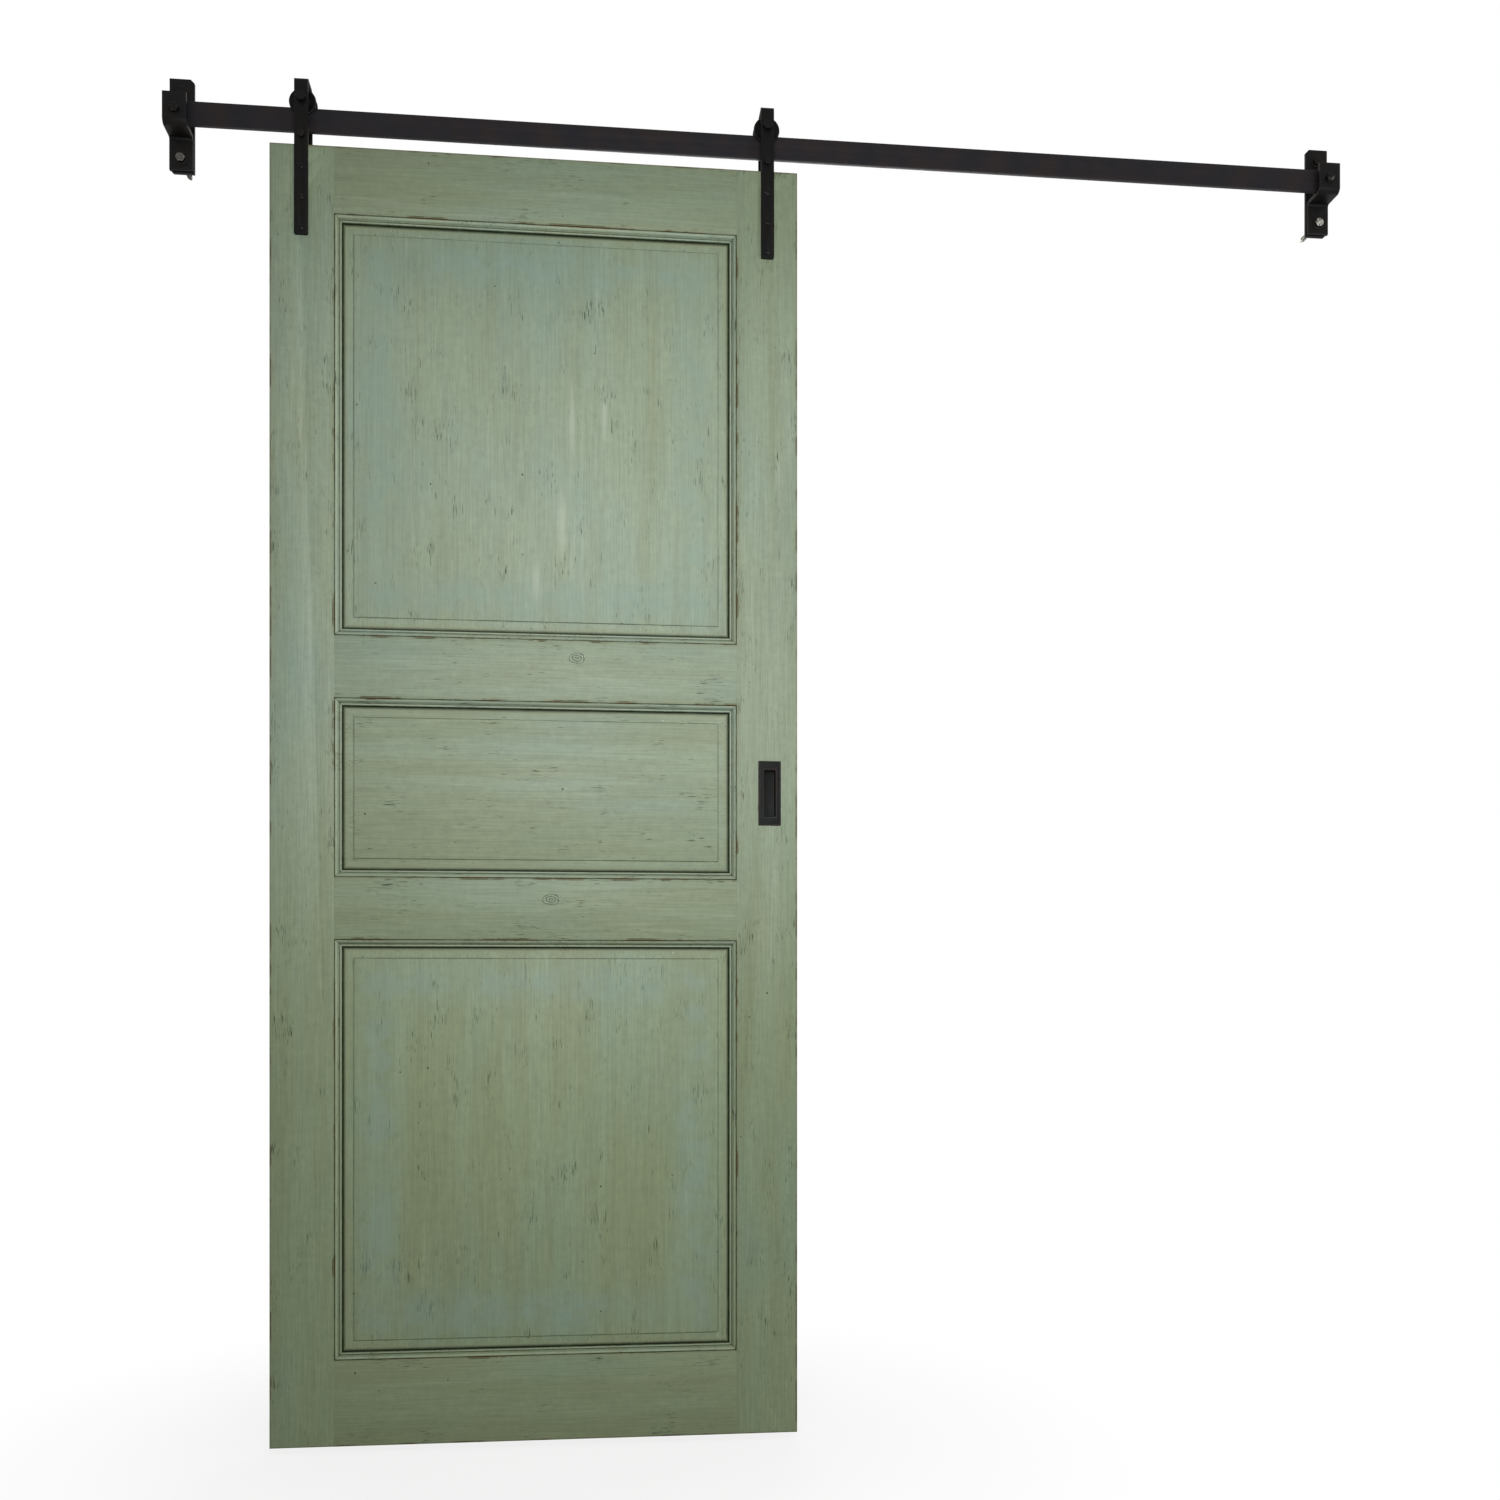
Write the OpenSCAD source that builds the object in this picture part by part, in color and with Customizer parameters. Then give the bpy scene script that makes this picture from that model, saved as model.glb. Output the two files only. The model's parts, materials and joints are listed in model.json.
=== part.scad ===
// Top-hung sliding door: a painted three-panel leaf on two folded strap hangers
// whose grooved wheels roll along a flat wall rail.
// The front faces -Y, the wall is the plane Y = 0, and the origin is the centre
// of the four wall bolts.

/* [Leaf] */
// Width of the door leaf
door_w = 870; // [760:5:1000]
// Height of the door leaf
door_h = 2134; // [1900:1:2400]
// Thickness of the door leaf
door_t = 35; // [34:1:44]
// Width of each stile
stile_w = 103; // [96:1:130]
// Height of the top rail
top_rail_h = 110; // [90:1:140]
// Height of each of the two lock rails
lock_rail_h = 102; // [80:1:130]
// Height of the bottom rail
bottom_rail_h = 141; // [110:1:200]
// Height of the opening for the middle panel
middle_open_h = 295; // [200:1:400]

/* [Panels and joinery] */
// Width of the groove that holds the panels, and thickness of the tenons
groove_w = 12; // [8:0.5:14]
// Depth of the groove that holds the panels
groove_d = 12; // [8:0.5:15]
// Length of each tenon
tenon_l = 40; // [25:1:42]
// Depth of the panel's field below the face of the leaf
field_drop = 4.5; // [3:0.1:6]
// Small square step round the panel's field
field_step = 1.2; // [0.5:0.1:2]
// Width of the sloping margin round the panel's field
bevel_w = 19; // [10:0.5:30]
// Width of the mitred moulding round each panel
moulding_w = 12; // [11:0.5:16]
// Radius of the moulding's quarter round
ovolo_r = 5; // [3.5:0.1:5.5]
// Radius of the moulding's inner bead
bead_r = 1.8; // [1.2:0.1:1.9]

/* [Rail] */
// Length of the flat rail
rail_l = 2000; // [1900:5:2400]
// Height of the flat rail
rail_h = 38; // [30:1:50]
// Thickness of the flat rail
rail_t = 8; // [5:0.5:9]
// Distance from the rail's ends to its bolts
rail_end = 15; // [12:1:40]

/* [Brackets] */
// Width of the wall plates
plate_w = 40; // [36:1:60]
// Height of the wall plates
plate_h = 156; // [140:1:200]
// Thickness of the wall plates
plate_t = 6; // [4:0.5:8]
// Size of the two clipped corners of each wall plate
plate_clip = 6; // [1:0.5:8]
// Width of the bracket arms
arm_w = 38; // [30:1:50]
// Thickness of the bracket arms
arm_t = 6; // [4:0.5:8]
// Inner radius of the arms' bends
arm_bend_r = 4; // [2:0.5:6]
// Height of the arm's flange above the rail
flange_over = 8; // [4:1:20]
// Distance from the wall bolts to the plate's ends
bolt_margin = 21; // [15:1:30]
// Height of the shelf that carries the rail, below the middle of the wall bolts
shelf_drop = 17; // [5:1:25]
// Length of the spacer between the rail and the arm's flange
spacer_l = 6.5; // [6:0.5:15]
// Length of the wall bolts under the head
lag_l = 70; // [50:5:120]

/* [Hangers] */
// Width of the hanger straps
strap_w = 22; // [19:0.5:30]
// Thickness of the hanger straps
strap_t = 5; // [3:0.5:8]
// Inner radius of the strap's two folds
strap_bend_r = 3; // [1:0.5:6]
// Distance from the leaf's edge to the middle of the strap
strap_inset = 51; // [40:1:60]
// Length of the strap on the face of the leaf
strap_drop = 149; // [135:1:200]
// Distance between the strap's screws
screw_pitch = 50; // [30:1:50]
// Distance from the lowest screw to the strap's end
screw_margin = 11; // [8:1:20]
// Radius of the rounded corners at the strap's ends
strap_corner_r = 3; // [1:0.5:6]
// Gap between the rail's lower edge and the top of the leaf
head_gap = 29; // [26:1:45]
// Outer radius of the wheels
wheel_r = 22; // [18:0.5:30]
// Radius of the wheels at the bottom of the groove
wheel_root_r = 8; // [7.5:0.1:12]
// Width of the wheels
wheel_w = 18; // [16:0.5:20]
// Radius of the axle bolts
axle_r = 4; // [3:0.1:4.5]

/* [Flush pull] */
// Width of the pull's plate
pull_w = 39; // [34:1:50]
// Height of the pull's plate
pull_h = 110; // [90:1:160]
// Width of the pull's recess
recess_w = 18; // [14:1:22]
// Height of the pull's recess
recess_h = 77; // [60:1:80]
// Depth of the pull's recess below the face of the leaf
recess_d = 11; // [8:0.5:14]
// Distance from the leaf's right edge to the middle of the pull
pull_inset = 47; // [40:1:55]
// Height of the pull's middle above the foot of the leaf
pull_height = 1082; // [1000:1:1150]

/* [Place on the rail] */
// Middle of the leaf, right of the middle of the rail
door_x = -399; // [-520:1:520]

/* [Hidden] */

PAINT = "#8a9c86";
STEEL = "#232326";
ZINC = "#9a9a98";
BRONZE = "#8c6a3c";
$fn = 48;

// Fits
press_gap = 0.02;
run_fit = 0.05;
run_gap = 0.3;
joint_gap = 0.1;
hole_gap = 0.3;
panel_gap = 1.5;
mitre_gap = 0.05;

// How far a cutting shape runs past what it cuts
over = 1;

// Bolts, nuts and washers: 8 mm bolts on the rail, wall and axles, 6 mm ties
bolt_r = 4;
hex_r = 8;
hex_h = 5.5;
hex_slope = 0.5;
hex_crown = 0.9;
nut_h = 6.5;
bolt_end = 2;
washer_r = 10;
washer_t = 1.5;
lag_tip = 8;
lag_tip_r = 0.8;
lag_shank = 1;
lag_thread_r = 3.6;
tie_r = 3;
tie_hex_r = 5.8;
tie_hex_h = 4;
tie_sleeve_r = 5.5;
sleeve_r = 7;
spacer_r = 8;
screw_r = 2.75;
screw_l = 28;
screw_head_r = 5;
screw_head_h = 2.2;
screw_head_taper = 1.2;

// Distances out from the wall
door_clear = 3;
door_back = plate_t + arm_t + washer_t + hex_h + door_clear;
door_face = door_back + door_t;
rail_mid = door_back + door_t / 2;
rail_front = rail_mid + rail_t / 2;
rail_back = rail_mid - rail_t / 2;
flange_back = rail_front + spacer_l;
flange_front = flange_back + arm_t;
strap_front = door_face + strap_t;
strap_back = door_back - strap_t;

// Heights
bolt_z = plate_h / 2 - bolt_margin;
rail_z = -shelf_drop;
rail_top = rail_z + rail_h;
rail_bolt_z = rail_z + rail_h / 2;
flange_top = rail_top + flange_over;
arm_margin = 2;
arm_foot = -plate_h / 2 + arm_margin;
axle_z = rail_top + run_gap + wheel_root_r;
fold_gap = 6;
strap_top = axle_z + wheel_r + fold_gap + strap_t;
door_top = rail_z - head_gap;
door_foot = door_top - door_h;
strap_foot = door_top - strap_drop;
tie_z = rail_z - head_gap / 2;
leg_below_tie = 11;
back_leg_foot = tie_z - leg_below_tie;
screw_zs = [for (i = [0:2]) strap_foot + screw_margin + i * screw_pitch];
pull_z = door_foot + pull_height;

// Places along the rail
bolt_x = rail_l / 2 - rail_end;
door_x0 = door_x - door_w / 2;
door_x1 = door_x + door_w / 2;
open_x0 = door_x0 + stile_w;
open_x1 = door_x1 - stile_w;
open_w = open_x1 - open_x0;
strap_xs = [door_x0 + strap_inset, door_x1 - strap_inset];
pull_x = door_x1 - pull_inset;

// The leaf's three openings from the top, each as [foot, head]
tall_open_h = (door_h - top_rail_h - bottom_rail_h - 2 * lock_rail_h - middle_open_h) / 2;
lower_open = [door_foot + bottom_rail_h, door_foot + bottom_rail_h + tall_open_h];
middle_open = [lower_open[1] + lock_rail_h, lower_open[1] + lock_rail_h + middle_open_h];
upper_open = [middle_open[1] + lock_rail_h, middle_open[1] + lock_rail_h + tall_open_h];
openings = [upper_open, middle_open, lower_open];

// The rails of the leaf, each as [foot, head, foot of tenon, head of tenon]
haunch = 20;
rails = [
    [upper_open[1], door_top, upper_open[1] + groove_d, door_top - haunch],
    [middle_open[1], upper_open[0], middle_open[1] + groove_d, upper_open[0] - groove_d],
    [lower_open[1], middle_open[0], lower_open[1] + groove_d, middle_open[0] - groove_d],
    [door_foot, lower_open[0], door_foot + haunch, lower_open[0] - groove_d]
];

// The raised panel: half its thickness at the tongue, at the slope's top and at the field
tongue_half = groove_w / 2 - joint_gap;
field_half = door_t / 2 - field_drop;
slope_half = field_half - field_step;
tongue_in = groove_d - panel_gap;
slope_run = moulding_w + bevel_w;
slope = (slope_half - tongue_half) / slope_run;

// The moulding: its outer quirk, and the depth at which its back meets the panel's slope
quirk_w = 1.4;
quirk_d = 1.6;
ovolo_top = 0.5;
ovolo_foot = ovolo_top + ovolo_r;
fillet_w = 0.8;
step_v = quirk_w + ovolo_r + fillet_w;
bead_d = 7;
function moulding_back(v) = door_t / 2 - tongue_half - slope * v - joint_gap;

// The pull
pull_proud = 2.5;
pull_bevel = 2;
recess_flare = 2;
cup_wall = 2;
cup_w = recess_w + 2 * cup_wall;
cup_h = recess_h + 2 * cup_wall;
cup_d = recess_d + cup_wall;

// The wheel
bush_wall = 1.5;
bush_r = axle_r + bush_wall;
rail_play = 0.8;
groove_half = rail_t / 2 + rail_play;
groove_flare = 1.4;
hub_r = sleeve_r + 2;
rim_w = 3.5;
dish = 0.8;
sleeve_l = (door_t - wheel_w) / 2 - run_gap;

// Turns a shape that stands on Z so that it points to the wall
module toward_wall() {
    rotate([-90, 0, 0]) children();
}

// A hexagon with its outer corners turned off
module hex(r, h) {
    intersection() {
        cylinder(r = r, h = h, $fn = 6);
        cylinder(r1 = r + h * hex_slope, r2 = r * hex_crown, h = h);
    }
}

// A hexagon bolt whose head seats on the plane at its origin
module hex_bolt(shank_r, head_r, head_h, length) {
    toward_wall() cylinder(r = shank_r, h = length);
    rotate([90, 0, 0]) hex(head_r, head_h);
}

// A hexagon nut that seats on the plane at its origin, on the wall's side of it
module hex_nut(r, hole_r, h) {
    toward_wall() difference() {
        hex(r, h);
        translate([0, 0, -over]) cylinder(r = hole_r, h = h + 2 * over);
    }
}

// A tube that starts at its origin and runs to the wall
module sleeve(r, hole_r, length) {
    toward_wall() difference() {
        cylinder(r = r, h = length);
        translate([0, 0, -over]) cylinder(r = hole_r, h = length + 2 * over);
    }
}

// A hole that runs from one distance from the wall to another
module wall_hole(x, z, r, from, to) {
    translate([x, -from - over, z]) toward_wall() cylinder(r = r, h = from - to + 2 * over);
}

// A box between two corners, given as distances from the wall
module slab(x0, x1, from, to, z0, z1) {
    translate([x0, -from, z0]) cube([x1 - x0, from - to, z1 - z0]);
}

// A quarter of a bent strip, in the quadrant given by the signs
module bend(inner_r, t, sign_x, sign_y) {
    intersection() {
        difference() {
            circle(r = inner_r + t);
            circle(r = inner_r);
        }
        scale([sign_x, sign_y]) square(inner_r + t);
    }
}

// Stands a section drawn in Y and Z up, and gives it a width along X
module across(x, w) {
    translate([x - w / 2, 0, 0]) rotate([90, 0, 90]) linear_extrude(w) children();
}

module rail() {
    color(STEEL) difference() {
        slab(-rail_l / 2, rail_l / 2, rail_front, rail_back, rail_z, rail_top);
        for (x = [-bolt_x, bolt_x]) wall_hole(x, rail_bolt_z, bolt_r + hole_gap, rail_front, rail_back);
    }
}

// A wall plate, with its upper inner and its lower outer corner clipped
module wall_plate(x) {
    w = plate_w / 2;
    h = plate_h / 2;
    c = plate_clip;
    inner = x < 0 ? 1 : -1;
    outline = [[-w + c, -h], [w, -h], [w, h - c], [w - c, h], [-w, h], [-w, -h + c]];
    color(STEEL) difference() {
        translate([x, 0, 0]) rotate([90, 0, 0]) linear_extrude(plate_t) {
            polygon([for (p = outline) [inner * p[0], p[1]]]);
        }
        for (z = [-bolt_z, bolt_z]) wall_hole(x, z, bolt_r + hole_gap, plate_t, 0);
    }
}

// The arm's side: a foot on the wall plate, a shelf under the rail and a flange in front of it
module arm_section() {
    r = arm_bend_r;
    outer = r + arm_t;
    foot_y = -plate_t - arm_t;
    translate([foot_y, arm_foot]) square([arm_t, rail_z - outer - arm_foot]);
    translate([foot_y - r, rail_z - outer]) bend(r, arm_t, 1, 1);
    translate([-flange_back + r, rail_z - arm_t]) square([flange_back - r + foot_y - r, arm_t]);
    translate([-flange_back + r, rail_z + r]) bend(r, arm_t, -1, -1);
    translate([-flange_front, rail_z + r]) square([arm_t, flange_top - rail_z - r]);
}

module bracket_arm(x) {
    color(STEEL) difference() {
        across(x, arm_w) arm_section();
        wall_hole(x, -bolt_z, bolt_r + hole_gap, plate_t + arm_t, plate_t);
        wall_hole(x, rail_bolt_z, bolt_r + hole_gap, flange_front, flange_back);
    }
}

// A wall bolt whose head seats at a distance from the wall, with its thread from just inside the wall
module lag_bolt(x, z, seat) {
    thread_l = lag_l - seat - lag_shank - lag_tip;
    translate([x, -seat, z]) hex_bolt(bolt_r, hex_r, hex_h, seat + lag_shank);
    translate([x, lag_shank, z]) toward_wall() {
        cylinder(r = lag_thread_r, h = thread_l);
        translate([0, 0, thread_l]) cylinder(r1 = lag_thread_r, r2 = lag_tip_r, h = lag_tip);
    }
}

module upper_wall_bolts() {
    color(STEEL) for (x = [-bolt_x, bolt_x]) lag_bolt(x, bolt_z, plate_t + washer_t);
}

module lower_wall_bolts() {
    color(ZINC) for (x = [-bolt_x, bolt_x]) lag_bolt(x, -bolt_z, plate_t + arm_t + washer_t);
}

module wall_washers() {
    color(STEEL) for (x = [-bolt_x, bolt_x]) {
        translate([x, -plate_t - washer_t, bolt_z]) sleeve(washer_r, bolt_r + hole_gap, washer_t);
        translate([x, -plate_t - arm_t - washer_t, -bolt_z]) sleeve(washer_r, bolt_r + hole_gap, washer_t);
    }
}

module rail_bolts() {
    length = flange_front - rail_back + nut_h + bolt_end;
    color(STEEL) for (x = [-bolt_x, bolt_x]) {
        translate([x, -flange_front, rail_bolt_z]) hex_bolt(bolt_r, hex_r, hex_h, length);
    }
}

module rail_spacers() {
    color(STEEL) for (x = [-bolt_x, bolt_x]) {
        translate([x, -flange_back, rail_bolt_z]) sleeve(spacer_r, bolt_r + hole_gap, spacer_l);
    }
}

module rail_nuts() {
    color(STEEL) for (x = [-bolt_x, bolt_x]) {
        translate([x, -rail_back, rail_bolt_z]) hex_nut(hex_r, bolt_r + press_gap, nut_h);
    }
}

// A stile, on the left (-1) or the right (1), with its grooves, mortises and screw holes
module stile(side) {
    x0 = side < 0 ? door_x0 : open_x1;
    x1 = x0 + stile_w;
    edge = side < 0 ? x1 : x0;
    strap_x = side < 0 ? strap_xs[0] : strap_xs[1];
    groove_half_w = groove_w / 2;
    color(PAINT) difference() {
        slab(x0, x1, door_face, door_back, door_foot, door_top);
        for (o = openings) {
            slab(edge - groove_d, edge + groove_d, rail_mid + groove_half_w, rail_mid - groove_half_w,
                o[0] - groove_d, o[1] + groove_d);
        }
        for (r = rails) {
            slab(edge - tenon_l - joint_gap, edge + tenon_l + joint_gap,
                rail_mid + groove_half_w, rail_mid - groove_half_w, r[2] - joint_gap, r[3] + joint_gap);
        }
        for (z = screw_zs) wall_hole(strap_x, z, screw_r + press_gap, door_face, door_face - screw_l);
        if (side > 0) pull_pocket();
    }
}

// A rail of the leaf, with a tenon at each end and a groove in each edge that faces a panel
module leaf_rail(r) {
    tenon_half = groove_w / 2 - joint_gap;
    groove_half_w = groove_w / 2;
    color(PAINT) difference() {
        union() {
            slab(open_x0, open_x1, door_face, door_back, r[0], r[1]);
            slab(open_x0 - tenon_l, open_x1 + tenon_l, rail_mid + tenon_half, rail_mid - tenon_half, r[2], r[3]);
        }
        for (o = openings) {
            slab(open_x0 - over, open_x1 + over, rail_mid + groove_half_w, rail_mid - groove_half_w,
                o[0] - groove_d, o[1] + groove_d);
        }
    }
}

// The section of a raised panel of width w, the same on its front and its back
function raised_edge(w, s) = [
    [-w / 2, s * tongue_half],
    [-w / 2 + tongue_in, s * tongue_half],
    [-w / 2 + tongue_in + slope_run, s * slope_half],
    [-w / 2 + tongue_in + slope_run, s * field_half],
    [w / 2 - tongue_in - slope_run, s * field_half],
    [w / 2 - tongue_in - slope_run, s * slope_half],
    [w / 2 - tongue_in, s * tongue_half],
    [w / 2, s * tongue_half]
];
function reversed(list) = [for (i = [len(list) - 1:-1:0]) list[i]];
function raised_section(w) = concat(raised_edge(w, -1), reversed(raised_edge(w, 1)));

module panel(o) {
    w = open_w + 2 * tongue_in;
    h = o[1] - o[0] + 2 * tongue_in;
    color(PAINT) translate([door_x, -rail_mid, (o[0] + o[1]) / 2]) intersection() {
        translate([0, 0, -h / 2]) linear_extrude(h) polygon(raised_section(w));
        translate([-w / 2, 0, 0]) rotate([0, 90, 0]) linear_extrude(w) polygon(raised_section(h));
    }
}

// The moulding's section: x runs in from the frame's edge, y down from the face of the leaf
module moulding_section() {
    polygon([
        [0, quirk_d], [quirk_w, quirk_d], [quirk_w, ovolo_foot], [step_v, ovolo_foot],
        [step_v, bead_d], [moulding_w, bead_d], [moulding_w, moulding_back(moulding_w)], [0, moulding_back(0)]
    ]);
    intersection() {
        translate([quirk_w, ovolo_foot]) circle(r = ovolo_r);
        translate([quirk_w, ovolo_top]) square(ovolo_r);
    }
    translate([moulding_w - bead_r, bead_d]) circle(r = bead_r);
}

// One stick of moulding along Z, mitred at both ends
module stick(length) {
    cut = 2 * moulding_w;
    end = length - mitre_gap;
    difference() {
        linear_extrude(length) moulding_section();
        translate([0, cut, 0]) rotate([90, 0, 0]) linear_extrude(2 * cut) {
            polygon([[0, mitre_gap], [0, -over], [cut, -over], [cut, cut + mitre_gap]]);
            polygon([[0, end], [0, length + over], [cut, length + over], [cut, end - cut]]);
        }
    }
}

// The four sticks round an opening, in one face of the leaf
module stick_ring(o) {
    translate([open_x0, 0, o[0]]) stick(o[1] - o[0]);
    translate([open_x1, 0, o[0]]) mirror([1, 0, 0]) stick(o[1] - o[0]);
    translate([open_x1, 0, o[0]]) rotate([0, -90, 0]) stick(open_w);
    translate([open_x0, 0, o[1]]) rotate([0, 90, 0]) stick(open_w);
}

module front_moulding(o) {
    color(PAINT) translate([0, -door_face, 0]) stick_ring(o);
}

module back_moulding(o) {
    color(PAINT) translate([0, -door_back, 0]) mirror([0, 1, 0]) stick_ring(o);
}

// The strap's side: a long front leg, a flat top over the wheel and a short rear leg
module strap_section() {
    r = strap_bend_r;
    spring = strap_top - strap_t - r;
    translate([-strap_front, strap_foot]) square([strap_t, spring - strap_foot]);
    translate([-door_face + r, spring]) bend(r, strap_t, -1, 1);
    translate([-door_face + r, strap_top - strap_t]) square([door_t - 2 * r, strap_t]);
    translate([-door_back - r, spring]) bend(r, strap_t, 1, 1);
    translate([-door_back, back_leg_foot]) square([strap_t, spring - back_leg_foot]);
}

// What is cut off the two corners at the end of a leg to round them
module leg_corners(x, foot, from, to) {
    r = strap_corner_r;
    side = strap_w / 2 - r;
    translate([x, -to + over, foot]) rotate([90, 0, 0]) linear_extrude(from - to + 2 * over) difference() {
        translate([-strap_w / 2 - over, -over]) square([strap_w + 2 * over, r + over]);
        translate([-side, 0]) square([2 * side, r + over]);
        for (corner = [-side, side]) translate([corner, r]) circle(r = r);
    }
}

module strap(x) {
    color(STEEL) difference() {
        across(x, strap_w) strap_section();
        leg_corners(x, strap_foot, strap_front, door_face);
        leg_corners(x, back_leg_foot, door_back, strap_back);
        wall_hole(x, axle_z, axle_r + hole_gap, strap_front, strap_back);
        wall_hole(x, tie_z, tie_r + hole_gap, strap_front, strap_back);
        for (z = screw_zs) wall_hole(x, z, screw_r + hole_gap, strap_front, door_face);
    }
}

module strap_screws(x) {
    color(STEEL) for (z = screw_zs) translate([x, -strap_front, z]) {
        toward_wall() cylinder(r = screw_r, h = screw_l);
        rotate([90, 0, 0]) cylinder(r1 = screw_head_r, r2 = screw_head_r - screw_head_taper, h = screw_head_h);
    }
}

// The wheel's half section on one side of the groove: x is the radius, y the distance from the middle
function wheel_side(s) = [
    [bush_r + press_gap, s * wheel_w / 2],
    [hub_r, s * wheel_w / 2],
    [hub_r + dish, s * (wheel_w / 2 - dish)],
    [wheel_r - rim_w - dish, s * (wheel_w / 2 - dish)],
    [wheel_r - rim_w, s * wheel_w / 2],
    [wheel_r - dish, s * wheel_w / 2],
    [wheel_r, s * (wheel_w / 2 - dish)],
    [wheel_r, s * (groove_half + groove_flare)],
    [wheel_root_r, s * groove_half]
];

module wheel(x) {
    color(STEEL) translate([x, -rail_mid, axle_z]) toward_wall() {
        rotate_extrude() polygon(concat(wheel_side(-1), reversed(wheel_side(1))));
    }
}

module wheel_bush(x) {
    color(BRONZE) translate([x, -rail_mid - wheel_w / 2, axle_z]) sleeve(bush_r, axle_r + run_fit, wheel_w);
}

module axle_bolt(x) {
    color(STEEL) translate([x, -strap_front, axle_z]) {
        hex_bolt(axle_r, hex_r, hex_h, strap_front - strap_back + nut_h + bolt_end);
    }
}

module axle_sleeves(x) {
    color(STEEL) for (y = [-door_face, -door_back - sleeve_l]) {
        translate([x, y, axle_z]) sleeve(sleeve_r, axle_r + hole_gap, sleeve_l);
    }
}

module axle_nuts() {
    color(STEEL) for (x = strap_xs) {
        translate([x, -strap_back, axle_z]) hex_nut(hex_r, axle_r + press_gap, nut_h);
    }
}

module tie_bolts() {
    color(STEEL) for (x = strap_xs) translate([x, -strap_front, tie_z]) {
        hex_bolt(tie_r, tie_hex_r, tie_hex_h, strap_front - strap_back + tie_hex_h + bolt_end);
    }
}

module tie_sleeves() {
    color(STEEL) for (x = strap_xs) {
        translate([x, -door_face, tie_z]) sleeve(tie_sleeve_r, tie_r + hole_gap, door_t);
    }
}

module tie_nuts() {
    color(STEEL) for (x = strap_xs) {
        translate([x, -strap_back, tie_z]) hex_nut(tie_hex_r, tie_r + press_gap, tie_hex_h);
    }
}

// A block centred on the pull that narrows or widens evenly along Y, given as distances from the wall
module tapered_block(from, w0, h0, to, w1, h1) {
    translate([pull_x, 0, pull_z]) intersection() {
        translate([0, 0, -h0 - h1]) linear_extrude(2 * (h0 + h1)) {
            polygon([[-w0 / 2, -from], [w0 / 2, -from], [w1 / 2, -to], [-w1 / 2, -to]]);
        }
        translate([-w0 - w1, 0, 0]) rotate([90, 0, 90]) linear_extrude(2 * (w0 + w1)) {
            polygon([[-from, -h0 / 2], [-from, h0 / 2], [-to, h1 / 2], [-to, -h1 / 2]]);
        }
    }
}

// The pocket in the stile for the pull's cup
module pull_pocket() {
    slab(pull_x - cup_w / 2 - joint_gap, pull_x + cup_w / 2 + joint_gap, door_face + over,
        door_face - cup_d - joint_gap, pull_z - cup_h / 2 - joint_gap, pull_z + cup_h / 2 + joint_gap);
}

module flush_pull() {
    mouth_w = recess_w + 2 * recess_flare;
    mouth_h = recess_h + 2 * recess_flare;
    front = door_face + pull_proud;
    color(STEEL) difference() {
        union() {
            tapered_block(front, pull_w - 2 * pull_bevel, pull_h - 2 * pull_bevel, door_face, pull_w, pull_h);
            slab(pull_x - cup_w / 2, pull_x + cup_w / 2, door_face, door_face - cup_d,
                pull_z - cup_h / 2, pull_z + cup_h / 2);
        }
        tapered_block(front, mouth_w, mouth_h, door_face, recess_w, recess_h);
        slab(pull_x - recess_w / 2, pull_x + recess_w / 2, door_face, door_face - recess_d,
            pull_z - recess_h / 2, pull_z + recess_h / 2);
    }
}

rail();
wall_plate(-bolt_x);  // left_wall_plate
wall_plate(bolt_x);  // right_wall_plate
bracket_arm(-bolt_x);  // left_bracket_arm
bracket_arm(bolt_x);  // right_bracket_arm
upper_wall_bolts();
lower_wall_bolts();
wall_washers();
rail_bolts();
rail_spacers();
rail_nuts();
stile(-1);  // left_stile
stile(1);  // right_stile
leaf_rail(rails[0]);  // top_rail
leaf_rail(rails[1]);  // upper_lock_rail
leaf_rail(rails[2]);  // lower_lock_rail
leaf_rail(rails[3]);  // bottom_rail
panel(upper_open);  // upper_panel
panel(middle_open);  // middle_panel
panel(lower_open);  // lower_panel
front_moulding(upper_open);  // upper_front_moulding
front_moulding(middle_open);  // middle_front_moulding
front_moulding(lower_open);  // lower_front_moulding
back_moulding(upper_open);  // upper_back_moulding
back_moulding(middle_open);  // middle_back_moulding
back_moulding(lower_open);  // lower_back_moulding
strap(strap_xs[0]);  // left_strap
strap(strap_xs[1]);  // right_strap
strap_screws(strap_xs[0]);  // left_strap_screws
strap_screws(strap_xs[1]);  // right_strap_screws
wheel(strap_xs[0]);  // left_wheel
wheel(strap_xs[1]);  // right_wheel
wheel_bush(strap_xs[0]);  // left_wheel_bush
wheel_bush(strap_xs[1]);  // right_wheel_bush
axle_bolt(strap_xs[0]);  // left_axle_bolt
axle_bolt(strap_xs[1]);  // right_axle_bolt
axle_sleeves(strap_xs[0]);  // left_axle_sleeves
axle_sleeves(strap_xs[1]);  // right_axle_sleeves
axle_nuts();
tie_bolts();
tie_sleeves();
tie_nuts();
flush_pull();
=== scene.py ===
"""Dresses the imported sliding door: eased edges, glazed paint, black steelwork, screws and threads."""

import json
from math import cos, pi, radians, sin

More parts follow.
